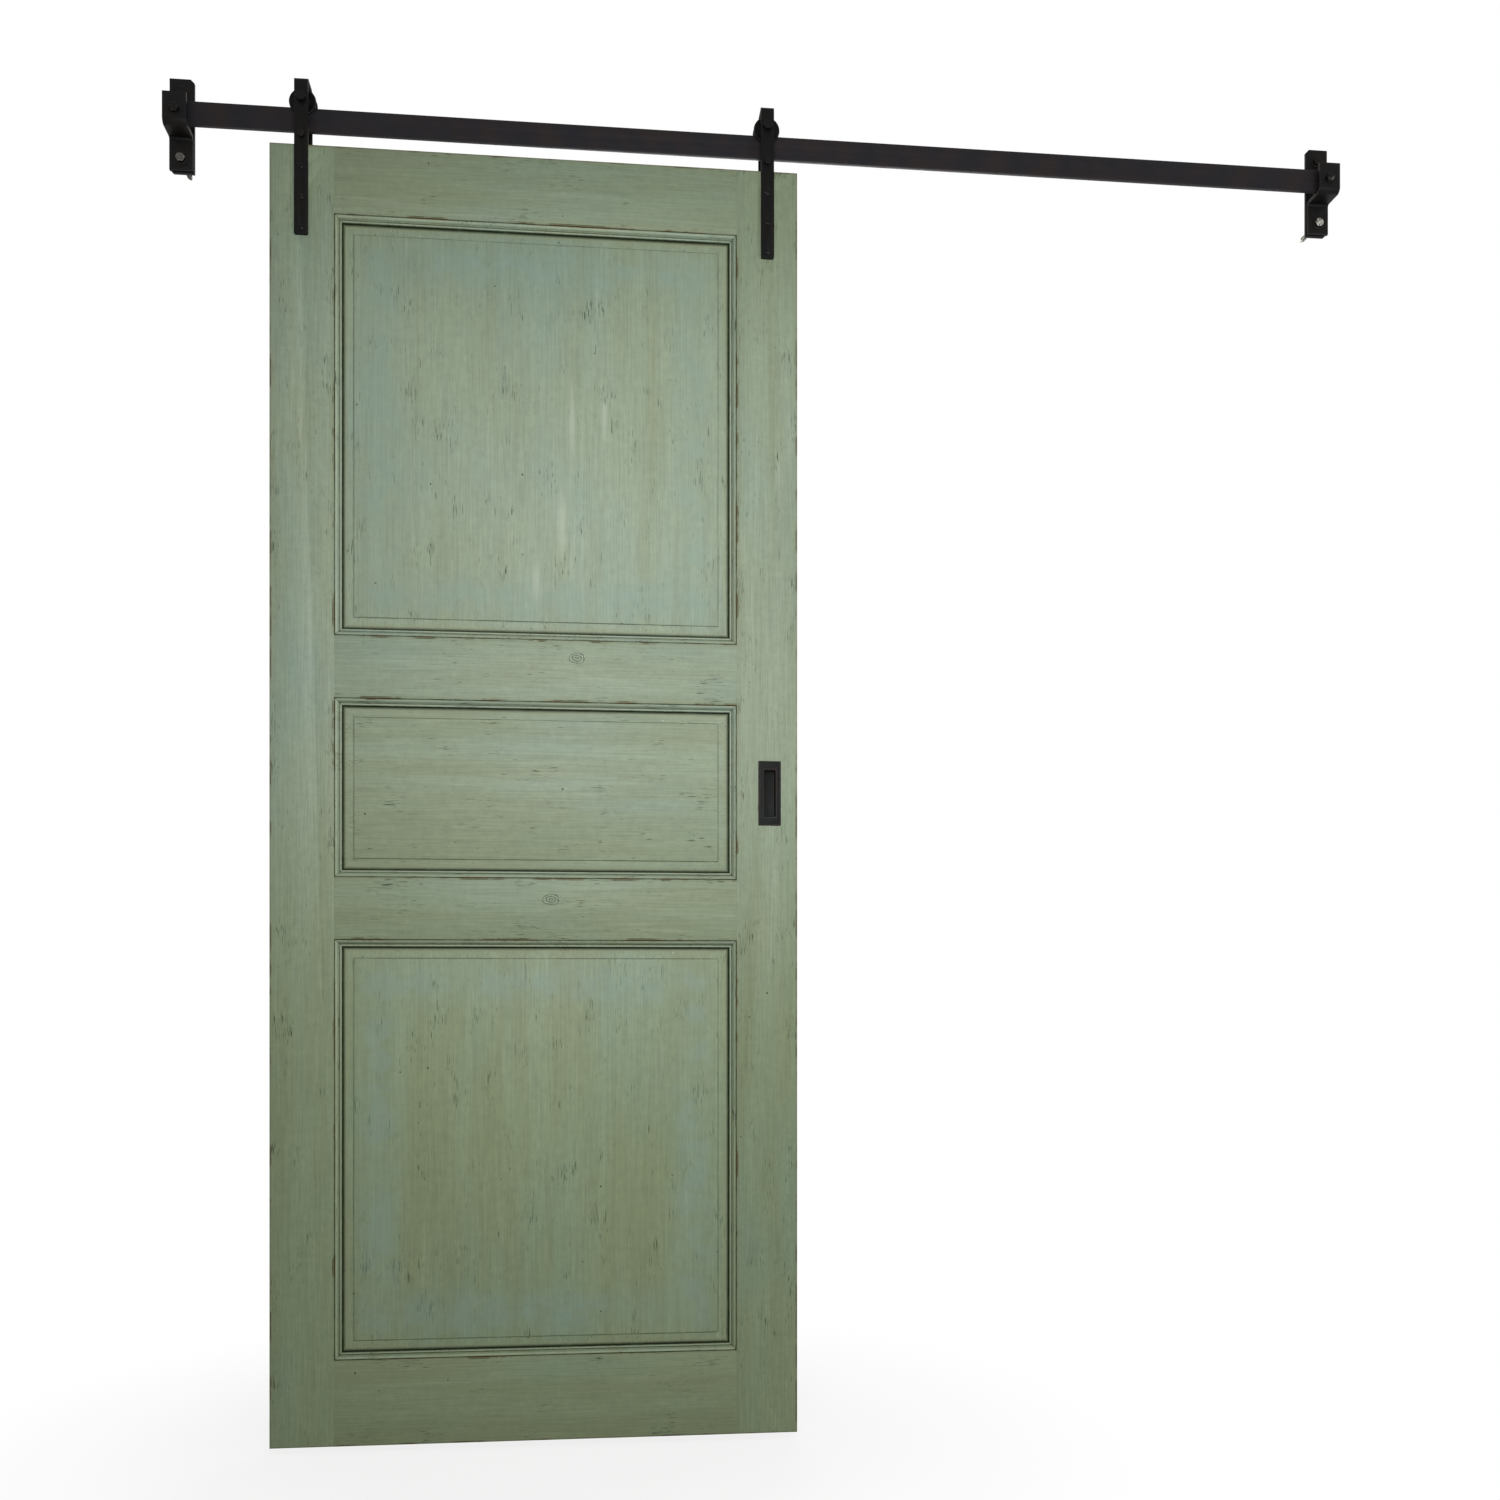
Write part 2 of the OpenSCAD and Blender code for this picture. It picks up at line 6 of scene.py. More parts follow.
import bmesh
import bpy
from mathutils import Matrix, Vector


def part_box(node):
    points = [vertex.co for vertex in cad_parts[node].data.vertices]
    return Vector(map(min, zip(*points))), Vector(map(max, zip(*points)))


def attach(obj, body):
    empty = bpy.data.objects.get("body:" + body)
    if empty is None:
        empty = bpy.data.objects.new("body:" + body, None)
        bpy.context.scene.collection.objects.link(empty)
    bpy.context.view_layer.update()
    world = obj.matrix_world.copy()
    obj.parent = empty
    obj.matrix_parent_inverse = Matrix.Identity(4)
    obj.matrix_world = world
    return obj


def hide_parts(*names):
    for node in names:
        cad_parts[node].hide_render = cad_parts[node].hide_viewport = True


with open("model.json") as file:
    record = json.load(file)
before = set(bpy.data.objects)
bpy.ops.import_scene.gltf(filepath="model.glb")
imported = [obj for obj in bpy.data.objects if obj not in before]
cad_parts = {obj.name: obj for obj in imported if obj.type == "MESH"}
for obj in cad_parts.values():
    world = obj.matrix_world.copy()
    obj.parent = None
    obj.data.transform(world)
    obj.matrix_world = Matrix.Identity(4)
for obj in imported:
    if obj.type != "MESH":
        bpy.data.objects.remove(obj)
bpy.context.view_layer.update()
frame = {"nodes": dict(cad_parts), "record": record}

bl_info = {
    "name": "Sliding door finish",
    "version": (1, 0, 0),
    "blender": (4, 5, 0),
    "location": "View3D > Sidebar > Sliding door",
    "description": "Paint, steelwork, fasteners and stage for a top-hung panelled sliding door",
    "category": "Object",
}

MM = 0.001

# An EASE takes 0 a value, 1 and 2 its limits, and 3 and 4 what they become.
# A LAYER takes 0 a share, 6 the colour below and 7 the colour above.
MATH, MIX, EASE = "ShaderNodeMath", "ShaderNodeMix", "ShaderNodeMapRange"
NOISE, PLACE = "ShaderNodeTexNoise", "ShaderNodeMapping"
TIMES, OVER_BY = {"operation": "MULTIPLY"}, {"operation": "DIVIDE"}
PLUS, LESS = {"operation": "ADD"}, {"operation": "SUBTRACT"}
LEAST, MOST, UNSIGNED = {"operation": "MINIMUM"}, {"operation": "MAXIMUM"}, {"operation": "ABSOLUTE"}
SMOOTH = {"interpolation_type": "SMOOTHSTEP"}
LAYER = {"out": 2, "data_type": "RGBA"}
WHITE = (1.0, 1.0, 1.0, 1.0)

STILES = ("left_stile", "right_stile")
LEAF_RAILS = ("top_rail", "upper_lock_rail", "lower_lock_rail", "bottom_rail")
OPENINGS = ("upper", "middle", "lower")
PANEL_GRAIN = {"upper": "Z", "middle": "X", "lower": "Z"}
BRACKET_NODES = ("left_wall_plate", "right_wall_plate", "left_bracket_arm", "right_bracket_arm")
RAIL_FIXINGS = ("upper_wall_bolts", "wall_washers", "rail_bolts", "rail_spacers", "rail_nuts")
HANGER_BOLTS = ("left_axle_bolt", "right_axle_bolt", "axle_nuts", "tie_bolts", "tie_nuts")
HIDDEN_SLEEVES = ("left_axle_sleeves", "right_axle_sleeves", "tie_sleeves")
BODY_OF = {node: body for body, nodes in frame["record"]["behaviour"]["bodies"].items() for node in nodes}

LEAF_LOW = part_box("left_stile")[0]
LEAF_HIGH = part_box("right_stile")[1]
OPEN_BOX = {name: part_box(name + "_front_moulding") for name in OPENINGS}

# How closely meshes are welded, which faces count as flat, and which edges are eased or drawn sharp.
WELD, SCREW_WELD = 0.002 * MM, 0.01 * MM
FLAT_ANGLE, EASED_ANGLE, SHARP_ANGLE = radians(0.6), radians(38), radians(28)

# Sizes of the paint's patterns. Some of them are cut from a second place in the noise.
SECOND_PLACE = (3.1, 1.7, 5.3)
MOTTLE, BRUISE_WIDTH, BRUISE_LENGTH = 14 * MM, 30 * MM, 70 * MM
DOT_SPACING, DOT_CHIP, TICKED_EDGE = 15 * MM, 2.5 * MM, 24 * MM
LINE_BREAK, LINE_RAG, LINE_JITTER = 42 * MM, 7 * MM, 0.45 * MM
KNOT_STRETCH = 1.5

# Metres above the foot and below the head where the painted shade at the leaf's ends is full and where it
# ends.
FOOT_SHADE, HEAD_SHADE = (0.60, 1.20), (0.05, 0.32)

# Sizes of the metals' patterns, how the black coat drifts to brown and to blue, and the distance either
# side of the middle across which the painted shade towards the bare metal's left end fades.
COAT_CLOUD, COAT_SCUFF, SPANGLE, PLATE_CLOUD = 45 * MM, 9 * MM, 1.8 * MM, 5 * MM
BROWNER_BLACK, BLUER_BLACK = (1.22, 1.05, 0.96), (0.80, 0.86, 0.98)
LEFT_SHADE_REACH = 0.9

# The wall bolts' threads: their core, where they start in the wall and how far from the point they stop.
THREAD_CORE, THREAD_START, THREAD_STOP = 3.55 * MM, 2 * MM, 10 * MM
THREAD_FACETS, RIDGE_SIDES = 20, 4

# The strap screws: the dome's lean at its rim, the shank's thread, the recess as shares of the head.
DOME_LEAN, DOME_STEPS, SCREW_FACETS = radians(78), 8, 24
SCREW_PITCH, SCREW_RIDGE, SCREW_POINT = 2 * MM, 0.7 * MM, 4 * MM
SCREW_CORE, THREADED_FROM, THREADED_SHARE = 0.78, 0.1, 0.8
RECESS_REACH, RECESS_DEPTH, RECESS_TAPER = 1.1, 1.5, 0.45
STRAP_SCREWS, SCREW_TURN = 3, 0.7

# The camera's place, turn, lens and sensor in mm, and its rise, matched to the photograph.
CAMERA_PLACE = (-0.3232, -2.6089, -1.4264)
CAMERA_TURN = (radians(90), 0.0, radians(-6.235))
CAMERA_LENS, CAMERA_SENSOR, CAMERA_RISE = 36.46, 36.0, 0.1583

# Metres from the leaf's foot between which the shadow on the floor fades.
FLOOR_SHADOW = (0.25, 1.1)


def linear(code):
    """An sRGB hex colour as linear red, green, blue and alpha."""
    parts = [int(code[i:i + 2], 16) / 255 for i in (1, 3, 5)]
    return tuple(c / 12.92 if c <= 0.04045 else ((c + 0.055) / 1.055) ** 2.4 for c in parts) + (1.0,)


def colour(code, name, description):
    """A colour that a user can change."""
    return bpy.props.FloatVectorProperty(
        name=name, description=description, subtype="COLOR", size=4, min=0, max=1, default=linear(code))


def length(size_mm, name, description):
    """A length that a user can change."""
    return bpy.props.FloatProperty(
        name=name, description=description, unit="LENGTH", min=0, precision=5, default=size_mm * MM)


class LeafPaint(bpy.types.PropertyGroup):
    sage: colour("#909e87", "Sage", "The paint where it is cleanest")
    blue_sage: colour("#849c92", "Blue sage", "The paint where its bluer first coat shows")
    olive: colour("#868d70", "Olive", "The paint where the brown glaze was wiped thin")
    # Besides rubbed paint, this colour is a painted highlight along the mouldings' crowns.
    pale: colour("#adb7a4", "Pale rub", "The paint where it was rubbed back")
    # The next two tints are painted shade. Multiplied over the paint, they darken it towards the leaf's
    # head and foot.
    head_shade_tint: colour("#eef0e9", "Aged head", "The tone that heavier glaze lays over the leaf's head")
    foot_shade_tint: colour("#edefdd", "Aged foot", "The tone that heavier glaze lays over the leaf's foot")
    # Besides real glaze, this colour is painted shade in the panels' corners, in the mouldings' valley and
    # along their inner edge.
    glaze: colour("#1d2512", "Glaze", "The dark glaze left in corners and dents")
    bare_pine: colour("#563f17", "Bare pine", "The wood where the paint is rubbed through")
    eased: length(0.6, "Eased edge", "Width of the eased edges of the leaf's boards")
    moulding_eased: length(0.25, "Eased moulding edge", "Width of the eased edges of the mouldings")
    brush_width: length(2.6, "Brush mark", "Width of one brush mark")
    brush_length: length(150, "Brush stroke", "Length of one brush mark")
    patch_width: length(150, "Patch width", "Width of the patches where the paint's colour drifts")
    patch_length: length(330, "Patch length", "Length of the patches where the paint's colour drifts")
    tick_width: length(0.95, "Tick width", "Width of the dark ticks in the grain")
    tick_length: length(24, "Tick length", "Length of the dark ticks in the grain")


class SteelFinish(bpy.types.PropertyGroup):
    rail: colour("#252325", "Rail", "The flat rail's satin black")
    strap: colour("#080807", "Straps", "The hangers' and wheels' flatter black")
    bracket: colour("#121110", "Brackets", "The brackets' black")
    pull: colour("#0f1312", "Pull", "The flush pull's black")
    # On the eased edges this lighter colour is wear and also a painted highlight. In scuffs it is wear.
    rubbed: colour("#35312f", "Rubbed edge", "The black where its edges are rubbed")
    zinc: colour("#b9b7ae", "Zinc", "The plating of the lower wall bolts")
    bronze: colour("#8f6d3f", "Bronze", "The wheels' bushes")
    eased: length(0.8, "Eased edge", "Width of the eased edges of the steel")
    fine_eased: length(0.35, "Eased bolt edge", "Width of the eased edges of bolts and nuts")
    grit: length(1.4, "Grit", "Size of the coating's grain")


class FastenerSizes(bpy.types.PropertyGroup):
    screw_head: length(5.0, "Screw head", "Radius of the strap screws' heads")
    screw_shank: length(2.7, "Screw shank", "Radius of the strap screws' shanks")
    recess: length(1.25, "Recess", "Width of the slots of the screws' cross recess")
    thread_pitch: length(3.2, "Thread pitch", "Distance between the turns of the wall bolts' threads")
    thread_depth: length(0.75, "Thread depth", "Height of the wall bolts' threads")


class StageSizes(bpy.types.PropertyGroup):
    floor_gap: length(12, "Floor gap", "Gap between the leaf's foot and the floor")
    floor_reach: length(6000, "Floor reach", "Half the floor's side")
    floor_tone: colour("#f0f0ee", "Floor", "The floor's pale tone")
    key_watts: bpy.props.FloatProperty(
        name="Key light", description="Power of the large lamp in front", unit="POWER", min=0, default=23)
    side_watts: bpy.props.FloatProperty(
        name="Side light", description="Power of the lamp at the right", unit="POWER", min=0, default=10)
    back_watts: bpy.props.FloatProperty(
        name="Back light", description="Power of the large lamp behind", unit="POWER", min=0, default=34)
    ambient: bpy.props.FloatProperty(
        name="Ambient", description="Strength of the even light from all round", min=0, max=1, default=0.13)


def add(tree, kind, inputs=None, out=0, **settings):
    """Adds a node and gives one of its outputs, or all of them where out is None.

    Inputs are values or sockets by the input's name or number, and settings are the node's own properties.
    """
    node = tree.nodes.new(kind)
    for key, value in settings.items():
        setattr(node, key, value)
    for key, value in (inputs or {}).items():
        if isinstance(value, bpy.types.NodeSocket):
            tree.links.new(value, node.inputs[key])
        else:
            node.inputs[key].default_value = value
    return node.outputs if out is None or not node.outputs else node.outputs[out]


def empty_material(name):
    """A material with no nodes yet, and its tree."""
    material = bpy.data.materials.new(name)
    material.use_nodes = True
    material.node_tree.nodes.clear()
    return material, material.node_tree


def grain_pattern(tree, place, width, run, detail):
    """Cloudy streaks of a width and a length in metres, along the pattern's own Z."""
    stretch = add(tree, PLACE, {0: place, "Scale": (1 / width, 1 / width, 1 / run)})
    return add(tree, NOISE, {0: stretch, "Scale": 1.0, "Detail": detail})


def edge_distance(tree, place, kind, boxes):
    """How far a point is from the edges of boxes.

    Inside and outside go by the outline as seen from the front, mitre by the corners' diagonals, and arris
    by the edges where two faces meet.
    """
    axes = add(tree, "ShaderNodeSeparateXYZ", {0: place}, out=None)
    nearest = None
    for low, high in boxes:
        depth = []
        for axis in (0, 1, 2):
            off = add(tree, MATH, {0: axes[axis], 1: (low[axis] + high[axis]) / 2}, **LESS)
            off = add(tree, MATH, {0: off}, **UNSIGNED)
            depth.append(add(tree, MATH, {0: (high[axis] - low[axis]) / 2, 1: off}, **LESS))
        if kind == "arris":
            most = add(tree, MATH, {0: depth[0], 1: depth[1]}, **MOST)
            least = add(tree, MATH, {0: depth[0], 1: depth[1]}, **LEAST)
            middle = add(tree, MATH, {0: most, 1: depth[2]}, **LEAST)
            distance = add(tree, MATH, {0: least, 1: middle}, **MOST)
        elif kind == "mitre":
            distance = add(tree, MATH, {0: depth[0], 1: depth[2]}, **LESS)
            distance = add(tree, MATH, {0: distance}, **UNSIGNED)
        else:
            distance = add(tree, MATH, {0: depth[0], 1: depth[2]}, **LEAST)
        if kind == "outside":
            distance = add(tree, MATH, {0: distance, 1: -1.0}, **TIMES)
        nearest = add(tree, MATH, {0: nearest, 1: distance}, **LEAST) if nearest else distance
    return nearest


def drifting_paint(tree, paint, grain, drift, tone):
    """The paint's colour, which drifts in patches to a bluer, a browner and a paler green."""
    patches = grain_pattern(tree, grain, paint.patch_width, paint.patch_length, 4.0)
    washes = grain_pattern(tree, drift, 0.25 * paint.patch_width, 1.4 * paint.patch_length, 4.0)
    rubs = grain_pattern(tree, drift, 0.09 * paint.patch_width, 0.55 * paint.patch_length, 5.0)
    bluer = add(tree, EASE, {0: patches, 1: 0.44, 2: 0.70, 4: 0.42}, **SMOOTH)
    browner = add(tree, EASE, {0: washes, 1: 0.38 - tone, 2: 0.76 - tone, 4: 0.50}, **SMOOTH)
    paler = add(tree, EASE, {0: rubs, 1: 0.56, 2: 0.82, 4: 0.36}, **SMOOTH)
    shade = tuple(paint.sage)
    for share, tint in ((bluer, paint.blue_sage), (browner, paint.olive), (paler, paint.pale)):
        shade = add(tree, MIX, {0: share, 6: shade, 7: tuple(tint)}, **LAYER)
    return shade


def brush_marks(tree, paint, grain, drift):
    """Long brush marks, by themselves and with finer hairs in them."""
    brush = grain_pattern(tree, grain, paint.brush_width, paint.brush_length, 4.0)
    hair = grain_pattern(tree, drift, 0.45 * paint.brush_width, 0.3 * paint.brush_length, 2.0)
    return brush, add(tree, MIX, {0: 0.5, 2: brush, 3: hair}, data_type="FLOAT")


def paint_level(tree, grain, streak, coat):
    """How light the paint is, as brush marks and a fine mottle vary it."""
    mottle = add(tree, NOISE, {0: grain, "Scale": 1 / MOTTLE, "Detail": 7.0, "Roughness": 0.72})
    marks = add(tree, EASE, {0: streak, 1: 0.30, 2: 0.70, 3: 0.87 * coat, 4: 1.09 * coat}, **SMOOTH)
    cloud = add(tree, EASE, {0: mottle, 1: 0.30, 2: 0.70, 3: 0.94, 4: 1.06}, **SMOOTH)
    level = add(tree, MATH, {0: marks, 1: cloud}, **TIMES)
    return add(tree, "ShaderNodeCombineXYZ", {0: level, 1: level, 2: level})


def spot_reach(tree, place, x, z, half_w, half_h):
    """A spot's own coordinates, in which its edge is 1 from its middle, and a point's distance in them."""
    spot = add(tree, PLACE, {
        0: place, "Location": (-x / half_w, 0.0, -z / half_h), "Scale": (1 / half_w, 0.0, 1 / half_h)})
    return spot, add(tree, "ShaderNodeVectorMath", {0: spot}, out="Value", operation="LENGTH")


def rubbed_spot(tree, place, brush, x, z, half_w, half_h):
    """The share of pale paint in a place that was rubbed along the brush marks."""
    _, reach = spot_reach(tree, place, x, z, half_w, half_h)
    reach = add(tree, MATH, {0: brush, 1: 1.8, 2: reach}, operation="MULTIPLY_ADD")
    return add(tree, EASE, {0: reach, 1: 1.0, 2: 2.1, 3: 0.62, 4: 0.0}, **SMOOTH)


def knot_rings(tree, place, x, z, size):
    """The share of glaze in the wavering rings of a knot."""
    spot, radius = spot_reach(tree, place, x, z, KNOT_STRETCH * size, size)
    sway = add(tree, NOISE, {0: spot, "Scale": 2.2, "Detail": 2.0})
    radius = add(tree, MATH, {0: sway, 1: 0.55, 2: radius}, operation="MULTIPLY_ADD")
    rings = add(tree, MATH, {0: radius, 1: 19.0}, **TIMES)
    rings = add(tree, MATH, {0: rings}, operation="SINE")
    rings = add(tree, EASE, {0: rings, 1: 0.20, 2: 0.95, 4: 0.80}, **SMOOTH)
    within = add(tree, EASE, {0: radius, 1: 1.02, 2: 1.42, 3: 1.0, 4: 0.0}, **SMOOTH)
    return add(tree, MATH, {0: rings, 1: within}, **TIMES)


def glaze_ticks(tree, paint, grain, drift, near):
    """The share of glaze in dark ticks, which gather in bruised places and close to edges."""
    ticks = grain_pattern(tree, grain, paint.tick_width, paint.tick_length, 2.0)
    bruise = grain_pattern(tree, drift, BRUISE_WIDTH, BRUISE_LENGTH, 3.0)
    bruised = add(tree, EASE, {0: bruise, 1: 0.40, 2: 0.72, 3: -0.115, 4: 0.06}, **SMOOTH)
    close = add(tree, EASE, {0: near, 1: 0.0, 2: TICKED_EDGE, 3: 0.055, 4: 0.0}, **SMOOTH)
    gather = add(tree, MATH, {0: bruised, 1: close}, **PLUS)
    ticked = add(tree, MATH, {0: ticks, 1: gather}, **PLUS)
    return add(tree, EASE, {0: ticked, 1: 0.645, 2: 0.705, 4: 0.86}, **SMOOTH)


def scattered_dots(tree, drift):
    """The share of glaze in chipped dark dots, and the share of pale paint in scattered flecks."""
    cells = add(tree, "ShaderNodeTexVoronoi", {0: drift, "Scale": 1 / DOT_SPACING}, out=None)
    chance = add(tree, "ShaderNodeSeparateColor", {0: cells["Color"]}, out=None)
    chipped = add(tree, NOISE, {0: drift, "Scale": 1 / DOT_CHIP, "Detail": 2.0})
    chipped = add(tree, MATH, {0: chipped, 1: 0.16, 2: cells["Distance"]}, operation="MULTIPLY_ADD")
    shares = []
    for pick, least, size, share in ((0, 0.90, 0.125, 0.78), (1, 0.965, 0.10, 0.90)):
        radius = add(tree, EASE, {0: chance[pick], 1: least, 2: 1.0, 3: 0.0, 4: size + 0.08}, **SMOOTH)
        dots = add(tree, MATH, {0: chipped, 1: radius}, operation="LESS_THAN")
        shares.append(add(tree, MATH, {0: dots, 1: share}, **TIMES))
    return shares


def edge_line(tree, rough, wander, middle, half, share, broken):
    """The share of a line's colour at some distance from an edge, in pieces where the line is broken."""
    off = add(tree, MATH, {0: rough, 1: middle * MM}, **LESS)
    off = add(tree, MATH, {0: off}, **UNSIGNED)
    line = add(tree, EASE, {0: off, 1: 0.0, 2: half * MM, 3: share, 4: 0.0}, **SMOOTH)
    if broken:
        keep = add(tree, EASE, {0: wander, 1: 0.30 + 0.26 * broken, 2: 0.48 + 0.20 * broken,
                                3: 1.0 - broken, 4: 1.0}, **SMOOTH)
        line = add(tree, MATH, {0: line, 1: keep}, **TIMES)
    return line


def painted_pine(name, paint, along, shift, edges, tone=0.0, coat=1.0, knots=(), rubs_at=()):
    """Pine under brushed sage paint, glazed brown and rubbed back.

    It shows long brush marks with the grain, patches of bluer and of browner green, dark ticks and dots
    where glaze stayed in the pores, dark lines in the corners that are partly glaze and partly painted
    shade, pale lines that serve as painted highlights, and bare brown wood on the arrises. The paint is
    darkened towards the leaf's head and foot as painted shade. The ticks and brush marks are drawn about
    twice as coarse as real ones, so that they show at the render's scale.
    The grain runs along X or Z, and the shift gives each board patterns of its own.
    Edges are (kind of distance, boxes, bands), and a band is (distance from the edge in mm, half width
    in mm, share, colour, how broken it is). More tone brings out more olive, and a coat under 1 is darker.
    Knots are (x, z, radius) and rubbed places are (x, z, half width, half height).
    """
    material, tree = empty_material(name)
    pale, glaze, bare_pine = tuple(paint.pale), tuple(paint.glaze), tuple(paint.bare_pine)
    place = add(tree, "ShaderNodeTexCoord", out="Object")
    turn = (0.0, radians(90), 0.0) if along == "X" else (0.0, 0.0, 0.0)
    grain = add(tree, PLACE, {0: place, "Location": shift, "Rotation": turn})
    drift = add(tree, PLACE, {0: grain, "Location": SECOND_PLACE})
    measures = [edge_distance(tree, place, kind, boxes) for kind, boxes, _ in edges]
    near = measures[0]
    for measure in measures[1:]:
        near = add(tree, MATH, {0: near, 1: measure}, **LEAST)

    brush, streak = brush_marks(tree, paint, grain, drift)
    shade = drifting_paint(tree, paint, grain, drift, tone)
    level = paint_level(tree, grain, streak, coat)
    shade = add(tree, MIX, {0: 1.0, 6: shade, 7: level}, **LAYER, blend_type="MULTIPLY")

    # Painted shade: the paint is darkened towards the leaf's head and foot.
    height = add(tree, "ShaderNodeSeparateXYZ", {0: place}, out=2)
    foot = (LEAF_LOW.z + FOOT_SHADE[0], LEAF_LOW.z + FOOT_SHADE[1], 0.92, paint.foot_shade_tint)
    head = (LEAF_HIGH.z - HEAD_SHADE[0], LEAF_HIGH.z - HEAD_SHADE[1], 1.0, paint.head_shade_tint)
    for end, fade, share, tint in (foot, head):
        shade_share = add(tree, EASE, {0: height, 1: fade, 2: end, 4: share}, **SMOOTH)
        shade = add(tree, MIX, {0: shade_share, 6: shade, 7: tuple(tint)}, **LAYER, blend_type="MULTIPLY")

    # Rubbed places, ticks, dots, knots and the lines along the edges lie over the paint in this order.
    # Some of the lines are painted shade and painted highlights.
    layers = [(rubbed_spot(tree, place, brush, *spot), pale) for spot in rubs_at]
    ticked = glaze_ticks(tree, paint, grain, drift, near)
    dots, flecks = scattered_dots(tree, drift)
    layers += [(ticked, glaze), (dots, glaze), (flecks, pale)]
    relief = add(tree, MATH, {0: streak, 1: 0.4}, **TIMES)
    relief = add(tree, MATH, {0: relief, 1: ticked}, **LESS)
    for knot in knots:
        rings = knot_rings(tree, place, *knot)
        layers.append((rings, glaze))
        relief = add(tree, MATH, {0: relief, 1: rings}, **LESS)
    wander = add(tree, NOISE, {0: place, "Scale": 1 / LINE_BREAK, "Detail": 5.0})
    ragged = add(tree, NOISE, {0: place, "Scale": 1 / LINE_RAG, "Detail": 3.0})
    jitter = add(tree, EASE, {0: ragged, 3: -LINE_JITTER, 4: LINE_JITTER})
    dull = ticked
    for measure, (_, _, bands) in zip(measures, edges):
        rough = add(tree, MATH, {0: measure, 1: jitter}, **PLUS)
        for middle, half, share, tint, broken in bands:
            line = edge_line(tree, rough, wander, middle, half, share, broken)
            layers.append((line, tuple(tint)))
            if tuple(tint) in (glaze, bare_pine):
                dull = add(tree, MATH, {0: dull, 1: line}, **MOST)
    for share, tint in layers:
        shade = add(tree, MIX, {0: share, 6: shade, 7: tint}, **LAYER)

    bump = add(tree, "ShaderNodeBump", {"Strength": 0.32, "Distance": 0.5 * MM, "Height": relief})
    sheen = add(tree, EASE, {0: streak, 1: 0.3, 2: 0.7, 3: 0.60, 4: 0.48}, **SMOOTH)
    shine = add(tree, EASE, {0: dull, 3: 0.35, 4: 0.04}, **SMOOTH)
    skin = add(tree, "ShaderNodeBsdfPrincipled", {
        "Base Color": shade, "Roughness": sheen, "Normal": bump, "Specular IOR Level": shine})
    add(tree, "ShaderNodeOutputMaterial", {0: skin})
    return material


def black_steel(name, tone, rubbed, grit, roughness, wear):
    """Hot-rolled steel under a satin black coat.

    It is near-black with cloudy brown and blue, a fine grain and a dull shine. The grain is drawn about
    three times as coarse as a real coat's, so that it shows. More wear makes more rubbed places. These are
    wear, and where they are given a bright metal colour they are also painted glints.
    """
    material, tree = empty_material(name)
    place = add(tree, "ShaderNodeTexCoord", out="Object")
    cloud = add(tree, NOISE, {0: place, "Scale": 1 / COAT_CLOUD, "Detail": 5.0})
    speck = add(tree, NOISE, {0: place, "Scale": 1 / grit, "Detail": 2.0})
    scuff = add(tree, NOISE, {0: place, "Scale": 1 / COAT_SCUFF, "Detail": 6.0, "Roughness": 0.7})
    warm = tuple(c * f for c, f in zip(tone, BROWNER_BLACK)) + (1.0,)
    cool = tuple(c * f for c, f in zip(tone, BLUER_BLACK)) + (1.0,)
    warmer = add(tree, EASE, {0: cloud, 1: 0.35, 2: 0.65}, **SMOOTH)
    scuffed = add(tree, EASE, {0: scuff, 1: 0.60 - wear, 2: 0.80 - wear, 4: 0.25 + wear}, **SMOOTH)
    shade = add(tree, MIX, {0: warmer, 6: cool, 7: warm}, **LAYER)
    shade = add(tree, MIX, {0: scuffed, 6: shade, 7: tuple(rubbed)}, **LAYER)
    grain = add(tree, MIX, {0: 0.4, 2: cloud, 3: speck}, data_type="FLOAT")
    dull = add(tree, EASE, {0: grain, 1: 0.3, 2: 0.7, 3: roughness - 0.07, 4: roughness + 0.09}, **SMOOTH)
    bump = add(tree, "ShaderNodeBump", {"Strength": 0.22, "Distance": 0.15 * MM, "Height": speck})
    skin = add(tree, "ShaderNodeBsdfPrincipled", {
        "Base Color": shade, "Roughness": dull, "Normal": bump, "Specular IOR Level": 0.10})
    add(tree, "ShaderNodeOutputMaterial", {0: skin})
    return material


